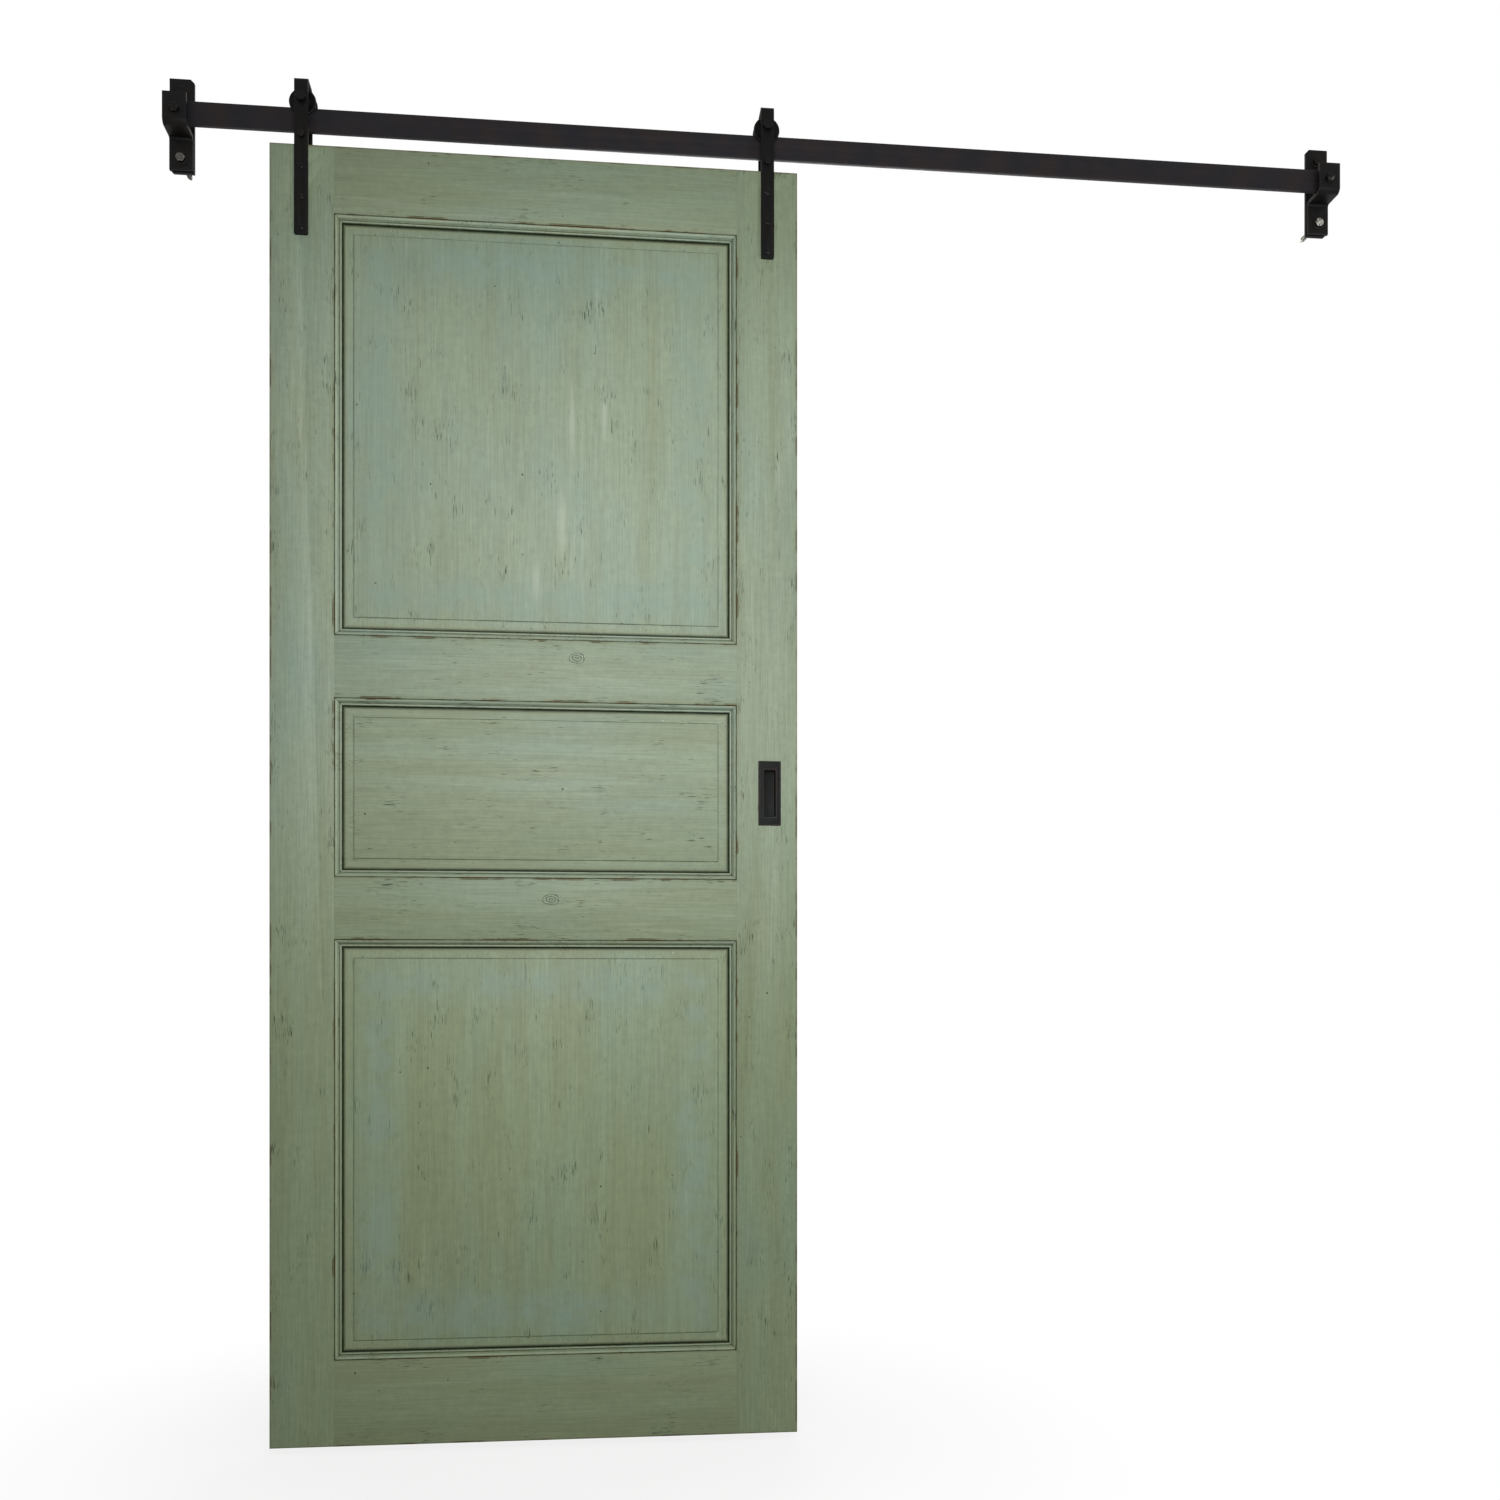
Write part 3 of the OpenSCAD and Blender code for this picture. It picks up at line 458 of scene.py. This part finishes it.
def bare_metal(name, tone, roughness, dark_share, left_shade):
    """Zinc plate or bearing bronze: grey or brown reflections, mottled by crystals and by painted
    reflections.

    The crystals are drawn coarse, so that they show, and their dark and bright mottle is partly painted
    reflections. The dark share is how bright the dullest of them are, and the share given last darkens the
    metal towards the left end as painted shade.
    """
    material, tree = empty_material(name)
    place = add(tree, "ShaderNodeTexCoord", out="Object")
    # Partly painted reflections: the crystals' dark and bright mottle also stands for the surroundings that
    # the metal reflects.
    spangle = add(tree, "ShaderNodeTexVoronoi", {0: place, "Scale": 1 / SPANGLE}, out="Color")
    crystal_and_glint = add(tree, "ShaderNodeSeparateColor", {0: spangle})
    cloud = add(tree, NOISE, {0: place, "Scale": 1 / PLATE_CLOUD, "Detail": 3.0})
    dark = tuple(c * dark_share for c in tone[:3]) + (1.0,)
    bright = add(tree, MATH, {0: cloud, 1: 0.8, 2: crystal_and_glint}, operation="MULTIPLY_ADD")
    bright = add(tree, EASE, {0: bright, 1: 0.50, 2: 1.3, 3: 0.03}, **SMOOTH)
    across = add(tree, "ShaderNodeSeparateXYZ", {0: place})
    # Painted shade: the metal is darkened towards the left end.
    unshaded = add(tree, EASE, {
        0: across, 1: -LEFT_SHADE_REACH, 2: LEFT_SHADE_REACH, 3: 1.0 - left_shade, 4: 1.0}, **SMOOTH)
    bright = add(tree, MATH, {0: bright, 1: unshaded}, **TIMES)
    shade = add(tree, MIX, {0: bright, 6: dark, 7: tuple(tone)}, **LAYER)
    dull = add(tree, EASE, {0: cloud, 1: 0.3, 2: 0.7, 3: roughness - 0.08, 4: roughness + 0.12}, **SMOOTH)
    skin = add(tree, "ShaderNodeBsdfPrincipled", {"Base Color": shade, "Metallic": 1.0, "Roughness": dull})
    add(tree, "ShaderNodeOutputMaterial", {0: skin})
    return material


def settle(piece):
    """Turns a piece and its modifiers into a plain mesh, smooth on its curves and sharp on its edges."""
    mesh = bpy.data.meshes.new_from_object(piece.evaluated_get(bpy.context.evaluated_depsgraph_get()))
    piece.modifiers.clear()
    piece.data = mesh
    mesh.polygons.foreach_set("use_smooth", [True] * len(mesh.polygons))
    mesh.set_sharp_from_angle(angle=SHARP_ANGLE)


def mesh_of(shape, name):
    """A mesh from an edited shape, which is freed."""
    mesh = bpy.data.meshes.new(name)
    shape.to_mesh(mesh)
    shape.free()
    return mesh


def new_piece(name, mesh):
    """An object at the origin that holds a mesh."""
    piece = bpy.data.objects.new(name, mesh)
    bpy.context.scene.collection.objects.link(piece)
    return piece


def eased_copy(node, width, body_material, edge_material):
    """A copy of a CAD node with its sharp edges eased, which takes the node's place."""
    source = frame["nodes"][node].data
    shape = bmesh.new()
    corners = [shape.verts.new(v.co) for v in source.vertices]
    for face in source.polygons:
        shape.faces.new([corners[i] for i in face.vertices])
    bmesh.ops.remove_doubles(shape, verts=shape.verts, dist=WELD)
    bmesh.ops.dissolve_limit(shape, angle_limit=FLAT_ANGLE, verts=shape.verts, edges=shape.edges)
    mesh = mesh_of(shape, node + "_eased")
    mesh.materials.append(body_material)
    mesh.materials.append(edge_material)
    piece = new_piece(node + "_eased", mesh)
    bevel = piece.modifiers.new("eased edges", "BEVEL")
    bevel.width = width
    bevel.segments = 2
    bevel.limit_method = "ANGLE"
    bevel.angle_limit = EASED_ANGLE
    bevel.use_clamp_overlap = True
    bevel.material = 1
    settle(piece)
    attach(piece, BODY_OF[node])
    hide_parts(node)


def line_tree(name, measures):
    """A geometry node tree for a shape along a line, with a number for each measure, and its inputs."""
    tree = bpy.data.node_groups.new(name, "GeometryNodeTree")
    kinds = {"Geometry": "Geometry", "First": "Vector", "Step": "Vector", "Count": "Int",
             "Material": "Material"}
    kinds.update({measure: "Float" for measure in measures})
    for key, kind in kinds.items():
        tree.interface.new_socket(name=key, in_out="INPUT", socket_type="NodeSocket" + kind)
    tree.interface.new_socket(name="Geometry", in_out="OUTPUT", socket_type="NodeSocketGeometry")
    return tree, add(tree, "NodeGroupInput", out=None)


def set_on_line(tree, given, shape, turn=(0.0, 0.0, 0.0)):
    """Sets a shape at points on a line, gives it its material and hands it out."""
    line = add(tree, "GeometryNodeMeshLine", {
        "Count": given["Count"], "Start Location": given["First"], "Offset": given["Step"]})
    placed = add(tree, "GeometryNodeInstanceOnPoints", {
        "Points": line, "Instance": shape, "Rotation": turn})
    real = add(tree, "GeometryNodeRealizeInstances", {0: placed})
    coated = add(tree, "GeometryNodeSetMaterial", {"Geometry": real, "Material": given["Material"]})
    add(tree, "NodeGroupOutput", {0: coated})


def thread_tree():
    """A helical thread, set at points on a line and pointing into the wall."""
    tree, given = line_tree("wall bolt threads", ("Radius", "Pitch", "Length", "Depth"))
    turns = add(tree, MATH, {0: given["Length"], 1: given["Pitch"]}, **OVER_BY)
    helix = add(tree, "GeometryNodeCurveSpiral", {
        "Resolution": THREAD_FACETS, "Rotations": turns, "Height": given["Length"],
        "Start Radius": given["Radius"], "End Radius": given["Radius"]})
    ridge = add(tree, "GeometryNodeCurvePrimitiveCircle", {
        "Resolution": RIDGE_SIDES, "Radius": given["Depth"]})
    swept = add(tree, "GeometryNodeCurveToMesh", {
        "Curve": helix, "Profile Curve": ridge, "Fill Caps": True})
    laid = add(tree, "GeometryNodeTransform", {"Geometry": swept, "Rotation": (radians(-90), 0.0, 0.0)})
    set_on_line(tree, given, laid)
    return tree


def screw_tree():
    """The piece's own mesh, set at points on a line and turned a little further at each."""
    tree, given = line_tree("strap screws", ("Turn",))
    each = add(tree, "GeometryNodeInputIndex")
    turn = add(tree, MATH, {0: each, 1: given["Turn"]}, **TIMES)
    turned = add(tree, "ShaderNodeCombineXYZ", {1: turn})
    set_on_line(tree, given, given["Geometry"], turned)
    return tree


def run_tree(piece, tree, values):
    """Runs a node tree on a piece with named values, and keeps the result as a plain mesh."""
    made = piece.modifiers.new(tree.name, "NODES")
    made.node_group = tree
    for socket in tree.interface.items_tree:
        if socket.in_out == "INPUT" and socket.name in values:
            made[socket.identifier] = values[socket.name]
    settle(piece)
    if not piece.data.polygons:
        raise RuntimeError(piece.name + " came out empty")


def cross_screw(name, head_r, shank_r, slot_w, head_h, shank_l):
    """A domed wood screw with a cross recess: the head's seat is at its origin and the shank runs to +Y."""
    shape = bmesh.new()
    rim = cos(DOME_LEAN)
    profile = [(0.0, -head_h)]
    for step in range(1, DOME_STEPS + 1):
        lean = step / DOME_STEPS * DOME_LEAN
        profile.append((head_r * sin(lean) / sin(DOME_LEAN), -head_h * (cos(lean) - rim) / (1 - rim)))
    profile += [(head_r, 0.0), (shank_r, 0.0)]
    core_r = shank_r * SCREW_CORE
    for ridge in range(int(shank_l * THREADED_SHARE / SCREW_PITCH)):
        y = shank_l * THREADED_FROM + ridge * SCREW_PITCH
        profile += [(core_r, y), (shank_r, y + SCREW_RIDGE), (core_r, y + 2 * SCREW_RIDGE)]
    profile += [(core_r, shank_l - SCREW_POINT), (0.0, shank_l)]
    line = [shape.verts.new((r, y, 0.0)) for r, y in profile]
    edges = [shape.edges.new(pair) for pair in zip(line, line[1:])]
    bmesh.ops.spin(shape, geom=line + edges, axis=(0, 1, 0), cent=(0, 0, 0),
                   steps=SCREW_FACETS, angle=2 * pi)
    bmesh.ops.remove_doubles(shape, verts=shape.verts, dist=SCREW_WELD)
    bmesh.ops.recalc_face_normals(shape, faces=shape.faces)
    screw = new_piece(name, mesh_of(shape, name))
    cutter = bmesh.new()
    reach, depth = head_r * RECESS_REACH, RECESS_DEPTH * head_h
    for arm in (Vector((reach, depth, slot_w)), Vector((slot_w, depth, reach))):
        block = bmesh.ops.create_cube(cutter, size=1.0)["verts"]
        bmesh.ops.scale(cutter, vec=arm, verts=block)
        for v in block:
            if v.co.y > 0:
                v.co.x *= RECESS_TAPER
                v.co.z *= RECESS_TAPER
        bmesh.ops.translate(cutter, vec=(0, -head_h, 0), verts=block)
    tool = new_piece(name + "_recess", mesh_of(cutter, name + "_recess"))
    cut = screw.modifiers.new("cross recess", "BOOLEAN")
    cut.operation = "DIFFERENCE"
    cut.solver = "EXACT"
    cut.use_self = True
    cut.object = tool
    settle(screw)
    bpy.data.objects.remove(tool)
    return screw


class SLIDING_DOOR_OT_leaf_frame(bpy.types.Operator):
    """Paints the leaf's stiles and rails, with eased edges and joint lines"""
    bl_idname = "sliding_door.leaf_frame"
    bl_label = "Stiles and rails"

    def execute(self, context):
        paint = context.scene.leaf_paint
        outer = (
            (3.0, 5.0, 0.42, paint.olive, 0.6),
            (1.5, 2.6, 0.60, paint.glaze, 0.8),
            (0.0, 2.4, 0.90, paint.bare_pine, 0.62),
        )
        beside = (
            (2.5, 7.0, 0.45, paint.olive, 0.5),
            (2.0, 1.5, 0.80, paint.glaze, 0.90),
            (0.0, 1.4, 0.95, paint.bare_pine, 0.76),
        )
        edges = (("arris", [(LEAF_LOW, LEAF_HIGH)], outer), ("outside", list(OPEN_BOX.values()), beside))
        knots = {"upper_lock_rail": ((-0.335, -0.877, 0.0105),),
                 "lower_lock_rail": ((-0.378, -1.280, 0.0110),)}
        tones = {"top_rail": 0.10, "lower_lock_rail": 0.04, "bottom_rail": 0.12, "right_stile": 0.03}
        coats = {"top_rail": 0.91, "upper_lock_rail": 0.95, "lower_lock_rail": 0.95, "bottom_rail": 0.91,
                 "left_stile": 0.93, "right_stile": 0.95}
        for number, node in enumerate(STILES + LEAF_RAILS):
            along = "Z" if node in STILES else "X"
            shift = (0.41 * number, 0.0, 0.73 * number)
            boards = painted_pine("Glazed_pine_" + node, paint, along, shift, edges,
                                  tone=tones.get(node, 0.0), coat=coats.get(node, 1.0),
                                  knots=knots.get(node, ()))
            eased_copy(node, paint.eased, boards, boards)
        return {"FINISHED"}


class SLIDING_DOOR_OT_panels(bpy.types.Operator):
    """Paints the three raised panels, with glaze and painted shade in the corners and glaze along the
    fields' edges
    """
    bl_idname = "sliding_door.panels"
    bl_label = "Raised panels"

    def execute(self, context):
        paint = context.scene.leaf_paint
        bluer = ((72.0, 58.0, 0.45, paint.blue_sage, 0.55),)
        bands = (
            (17.0, 8.0, 0.55, paint.olive, 0.3),
            # Painted shade with glaze: the dark band along the panel's edge by the moulding, where the
            # moulding shades the panel.
            (12.4, 6.6, 1.0, paint.glaze, 0.08),
            (31.2, 1.4, 0.60, paint.glaze, 0.35),
        )
        rubs_at = {"upper": ((-0.343, -0.482, 0.007, 0.075), (-0.289, -0.469, 0.006, 0.050),
                             (-0.360, -0.655, 0.009, 0.070), (-0.402, -0.751, 0.008, 0.045))}
        tones = {"middle": 0.12, "lower": 0.10}
        coats = {"lower": 1.05}
        for number, name in enumerate(OPENINGS):
            node = name + "_panel"
            edges = (("inside", [OPEN_BOX[name]], bands if name == "middle" else bluer + bands),)
            shift = (0.37 * number + 1.3, 0.0, 0.9 * number)
            boards = painted_pine("Glazed_pine_" + node, paint, PANEL_GRAIN[name], shift, edges,
                                  tone=tones.get(name, 0.0), coat=coats.get(name, 1.0),
                                  rubs_at=rubs_at.get(name, ()))
            eased_copy(node, 0.5 * paint.eased, boards, boards)
        return {"FINISHED"}


class SLIDING_DOOR_OT_mouldings(bpy.types.Operator):
    """Paints the mitred mouldings on both faces, with dark quirks, rubbed arrises, painted highlights along
    the crowns and painted shade in the valley and along the inner edge
    """
    bl_idname = "sliding_door.mouldings"
    bl_label = "Mouldings"

    def execute(self, context):
        paint = context.scene.leaf_paint
        bands = (
            # Painted highlights: pale lines along the crowns of the ovolo and of the bead.
            (4.0, 2.0, 0.40, paint.pale, 0.4),
            (10.0, 1.3, 0.50, paint.pale, 0.4),
            (0.6, 1.9, 0.95, paint.glaze, 0.30),
            (0.7, 1.4, 0.95, paint.bare_pine, 0.92),
            # Painted shade with glaze: the valley between the ovolo and the bead, and the inner edge by the
            # panel.
            (7.7, 1.1, 0.70, paint.glaze, 0.3),
            (12.6, 2.0, 0.98, paint.glaze, 0.1),
        )
        joint = ((0.0, 1.2, 0.60, paint.glaze, 0.2),)
        for number, name in enumerate(OPENINGS):
            opening = [OPEN_BOX[name]]
            edges = (("inside", opening, bands), ("mitre", opening, joint))
            shift = (0.53 * number, 0.0, 2.1 + number)
            sticks = painted_pine("Glazed_moulding_" + name, paint, PANEL_GRAIN[name], shift, edges,
                                  tone=0.02)
            for face in ("front", "back"):
                eased_copy(f"{name}_{face}_moulding", paint.moulding_eased, sticks, sticks)
        return {"FINISHED"}


class SLIDING_DOOR_OT_steelwork(bpy.types.Operator):
    """Finishes the rail, brackets, straps and flush pull in satin black with eased edges"""
    bl_idname = "sliding_door.steelwork"
    bl_label = "Rail, brackets, straps and pull"

    def execute(self, context):
        steel = context.scene.steel_finish
        # Painted highlight and wear: the eased edges are painted in the lighter rubbed colour.
        edge = black_steel("Black_coat_rubbed_and_highlit_edge", steel.rubbed, steel.rubbed, steel.grit, 0.40, 0.10)
        groups = (
            ("Satin_black_rail", ("rail",), steel.rail, 0.46, 0.0),
            ("Satin_black_bracket", BRACKET_NODES, steel.bracket, 0.50, 0.02),
            ("Flat_black_strap", ("left_strap", "right_strap"), steel.strap, 0.52, 0.0),
            ("Flat_black_pull", ("flush_pull",), steel.pull, 0.48, 0.0),
        )
        for name, nodes, tone, roughness, wear in groups:
            coat = black_steel(name, tone, steel.rubbed, steel.grit, roughness, wear)
            for node in nodes:
                eased_copy(node, steel.eased, coat, edge)
        return {"FINISHED"}


class SLIDING_DOOR_OT_wheels(bpy.types.Operator):
    """Finishes the grooved wheels, their bushes and sleeves"""
    bl_idname = "sliding_door.wheels"
    bl_label = "Wheels"

    def execute(self, context):
        steel = context.scene.steel_finish
        coat = black_steel("Turned_black_wheel", steel.strap, steel.rubbed, steel.grit, 0.42, 0.03)
        edge = black_steel("Turned_wheel_edge", steel.bracket, steel.rubbed, steel.grit, 0.36, 0.08)
        bronze = bare_metal("Bearing_bronze", tuple(steel.bronze), 0.34, 0.55, 0.0)
        for side in ("left", "right"):
            eased_copy(side + "_wheel", 0.6 * steel.eased, coat, edge)
            frame["nodes"][side + "_wheel_bush"].material_slots[0].material = bronze
        for node in HIDDEN_SLEEVES:
            frame["nodes"][node].material_slots[0].material = coat
        return {"FINISHED"}


class SLIDING_DOOR_OT_bolts(bpy.types.Operator):
    """Finishes the bolts, nuts and washers, and winds threads round the wall bolts"""
    bl_idname = "sliding_door.bolts"
    bl_label = "Bolts and threads"

    def execute(self, context):
        steel = context.scene.steel_finish
        sizes = context.scene.fastener_sizes
        coat = black_steel("Blackened_bolt", steel.bracket, steel.rubbed, steel.grit, 0.40, 0.06)
        # Painted highlight and wear: the bolts' eased edges are painted in the lighter rubbed colour.
        edge = black_steel("Blackened_bolt_edge", steel.rubbed, steel.rubbed, steel.grit, 0.34, 0.10)
        # The zinc's mottle is partly painted reflections, and the left lower wall bolt is darkened as
        # painted shade.
        zinc = bare_metal("Zinc_plate", tuple(steel.zinc), 0.30, 0.10, 0.85)
        # The rail bolts' scuffs to zinc are wear, and also painted glints on their heads.
        worn_and_glinting = black_steel("Worn_and_glinting_bolt", steel.bracket, steel.zinc, steel.grit, 0.36, 0.09)
        for node in RAIL_FIXINGS + HANGER_BOLTS:
            eased_copy(node, steel.fine_eased, worn_and_glinting if node == "rail_bolts" else coat, edge)
        eased_copy("lower_wall_bolts", steel.fine_eased, zinc, zinc)
        threaded = (("upper_wall_bolts", coat, "black_steel"), ("lower_wall_bolts", zinc, "zinc_steel"))
        tree = thread_tree()
        for node, finish, slot in threaded:
            low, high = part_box(node)
            middle = (low.z + high.z) / 2
            # The hexagon heads have corners along X and flats along Z.
            reach = high.x - (high.z - low.z) / (2 * cos(radians(30)))
            thread = new_piece(node + "_threads", bpy.data.meshes.new(node + "_threads"))
            run_tree(thread, tree, {
                "First": (-reach, THREAD_START, middle), "Step": (2 * reach, 0.0, 0.0), "Count": 2,
                "Radius": THREAD_CORE, "Pitch": sizes.thread_pitch, "Depth": sizes.thread_depth,
                "Length": high.y - (THREAD_START + THREAD_STOP), "Material": finish})
            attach(thread, "rail_frame")
        return {"FINISHED"}


class SLIDING_DOOR_OT_screws(bpy.types.Operator):
    """Sets the cross-head wood screws in the straps"""
    bl_idname = "sliding_door.screws"
    bl_label = "Strap screws"

    def execute(self, context):
        steel = context.scene.steel_finish
        sizes = context.scene.fastener_sizes
        # The screws' scuffs to zinc are wear, and also painted glints on their heads.
        coat = black_steel("Black_oxide_screw", steel.bracket, steel.zinc, steel.grit, 0.36, 0.06)
        tree = screw_tree()
        for side in ("left", "right"):
            node = side + "_strap_screws"
            low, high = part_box(node)
            radius = (high.x - low.x) / 2
            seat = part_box(side + "_strap")[0].y
            spacing = (high.z - low.z - 2 * radius) / (STRAP_SCREWS - 1)
            screws = cross_screw(side + "_cross_head_screws", sizes.screw_head, sizes.screw_shank,
                                 sizes.recess, seat - low.y, high.y - seat)
            run_tree(screws, tree, {
                "First": ((low.x + high.x) / 2, seat, low.z + radius), "Step": (0.0, 0.0, spacing),
                "Count": STRAP_SCREWS, "Turn": SCREW_TURN, "Material": coat})
            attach(screws, "leaf")
            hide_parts(node)
        return {"FINISHED"}


def seen_share(tree):
    """1 for what the camera sees, straight or by a shine or glass, and 0 for light on other surfaces."""
    rays = add(tree, "ShaderNodeLightPath", out=None)
    seen = add(tree, MATH, {0: rays["Is Camera Ray"], 1: rays["Is Glossy Ray"]}, **MOST)
    return add(tree, MATH, {0: seen, 1: rays["Is Transmission Ray"]}, **MOST)


class SLIDING_DOOR_OT_stage(bpy.types.Operator):
    """Sets up the floor, the soft light, the white surroundings and the camera"""
    bl_idname = "sliding_door.stage"
    bl_label = "Stage"

    def execute(self, context):
        scene = context.scene
        sizes = scene.stage_sizes
        level = LEAF_LOW.z - sizes.floor_gap
        reach = sizes.floor_reach
        corners = [(x * reach, y * reach, level) for x, y in ((-1, -1), (1, -1), (1, 1), (-1, 1))]
        mesh = bpy.data.meshes.new("floor")
        mesh.from_pydata(corners, [], [(0, 1, 2, 3)])
        floor = new_piece("floor", mesh)
        material, tree = empty_material("Pale_floor")
        place = add(tree, "ShaderNodeTexCoord", out="Object")
        centre = add(tree, PLACE, {0: place, "Location": ((LEAF_LOW.x + LEAF_HIGH.x) / -2, 0.0, -level)})
        away = add(tree, "ShaderNodeVectorMath", {0: centre}, operation="LENGTH", out="Value")
        clear = add(tree, EASE, {
            0: away, 1: FLOOR_SHADOW[0], 2: FLOOR_SHADOW[1], 3: 0.80, 4: 1.0}, **SMOOTH)
        white_share = add(tree, MATH, {0: seen_share(tree), 1: clear}, **TIMES)
        matt = add(tree, "ShaderNodeBsdfDiffuse", {"Color": tuple(sizes.floor_tone)})
        white = add(tree, "ShaderNodeEmission", {"Color": WHITE, "Strength": 1.0})
        mixed = add(tree, "ShaderNodeMixShader", {0: white_share, 1: matt, 2: white})
        add(tree, "ShaderNodeOutputMaterial", {0: mixed})
        mesh.materials.append(material)

        world = bpy.data.worlds.new("White_surroundings")
        scene.world = world
        world.use_nodes = True
        tree = world.node_tree
        tree.nodes.clear()
        soft = add(tree, "ShaderNodeBackground", {"Color": WHITE, "Strength": sizes.ambient})
        white = add(tree, "ShaderNodeBackground", {"Color": WHITE, "Strength": 1.0})
        mixed = add(tree, "ShaderNodeMixShader", {0: seen_share(tree), 1: soft, 2: white})
        add(tree, "ShaderNodeOutputWorld", {0: mixed})

        # The lamps' places, aims and sides are in metres.
        for name, spot, aim, side, watts in (
            ("Key_softbox", (-0.26, -1.80, -0.66), (-0.38, 0.0, -0.74), 0.9, sizes.key_watts),
            ("Side_softbox", (1.3, -1.3, -0.5), (-0.3, 0.0, -0.9), 0.5, sizes.side_watts),
            ("Back_softbox", (0.3, 2.2, -0.5), (-0.2, 0.0, -0.9), 1.6, sizes.back_watts),
        ):
            lamp = bpy.data.lights.new(name, "AREA")
            lamp.size = side
            lamp.energy = watts
            holder = bpy.data.objects.new(name, lamp)
            holder.location = spot
            holder.rotation_euler = (Vector(aim) - Vector(spot)).to_track_quat("-Z", "Y").to_euler()
            holder.visible_camera = False
            scene.collection.objects.link(holder)

        camera = bpy.data.cameras.new("Photograph_view")
        camera.sensor_width = CAMERA_SENSOR
        camera.lens = CAMERA_LENS
        camera.shift_y = CAMERA_RISE
        eye = bpy.data.objects.new("Photograph_view", camera)
        eye.location = CAMERA_PLACE
        eye.rotation_euler = CAMERA_TURN
        scene.collection.objects.link(eye)
        scene.camera = eye
        scene.view_settings.view_transform = "Standard"
        return {"FINISHED"}


class SLIDING_DOOR_PT_panel(bpy.types.Panel):
    bl_label = "Sliding door"
    bl_idname = "SLIDING_DOOR_PT_panel"
    bl_space_type = "VIEW_3D"
    bl_region_type = "UI"
    bl_category = "Sliding door"

    def draw(self, context):
        scene = context.scene
        for group, title in ((scene.leaf_paint, "Leaf"), (scene.steel_finish, "Steel"),
                             (scene.fastener_sizes, "Fasteners"), (scene.stage_sizes, "Stage")):
            box = self.layout.box()
            box.label(text=title)
            for key in group.__annotations__:
                box.prop(group, key)
        for operator in OPERATORS:
            self.layout.operator(operator.bl_idname)


SETTINGS = (("leaf_paint", LeafPaint), ("steel_finish", SteelFinish),
            ("fastener_sizes", FastenerSizes), ("stage_sizes", StageSizes))
OPERATORS = (SLIDING_DOOR_OT_leaf_frame, SLIDING_DOOR_OT_panels, SLIDING_DOOR_OT_mouldings,
             SLIDING_DOOR_OT_steelwork, SLIDING_DOOR_OT_wheels, SLIDING_DOOR_OT_bolts,
             SLIDING_DOOR_OT_screws, SLIDING_DOOR_OT_stage)


def register():
    for _, group in SETTINGS:
        bpy.utils.register_class(group)
    for name, group in SETTINGS:
        setattr(bpy.types.Scene, name, bpy.props.PointerProperty(type=group))
    for operator in OPERATORS:
        bpy.utils.register_class(operator)
    bpy.utils.register_class(SLIDING_DOOR_PT_panel)


def unregister():
    bpy.utils.unregister_class(SLIDING_DOOR_PT_panel)
    for operator in reversed(OPERATORS):
        bpy.utils.unregister_class(operator)
    for name, group in reversed(SETTINGS):
        delattr(bpy.types.Scene, name)
        bpy.utils.unregister_class(group)


def main():
    register()
    bpy.ops.sliding_door.leaf_frame()
    bpy.ops.sliding_door.panels()
    bpy.ops.sliding_door.mouldings()
    bpy.ops.sliding_door.steelwork()
    bpy.ops.sliding_door.wheels()
    bpy.ops.sliding_door.bolts()
    bpy.ops.sliding_door.screws()
    bpy.ops.sliding_door.stage()


if __name__ == "__main__":
    main()
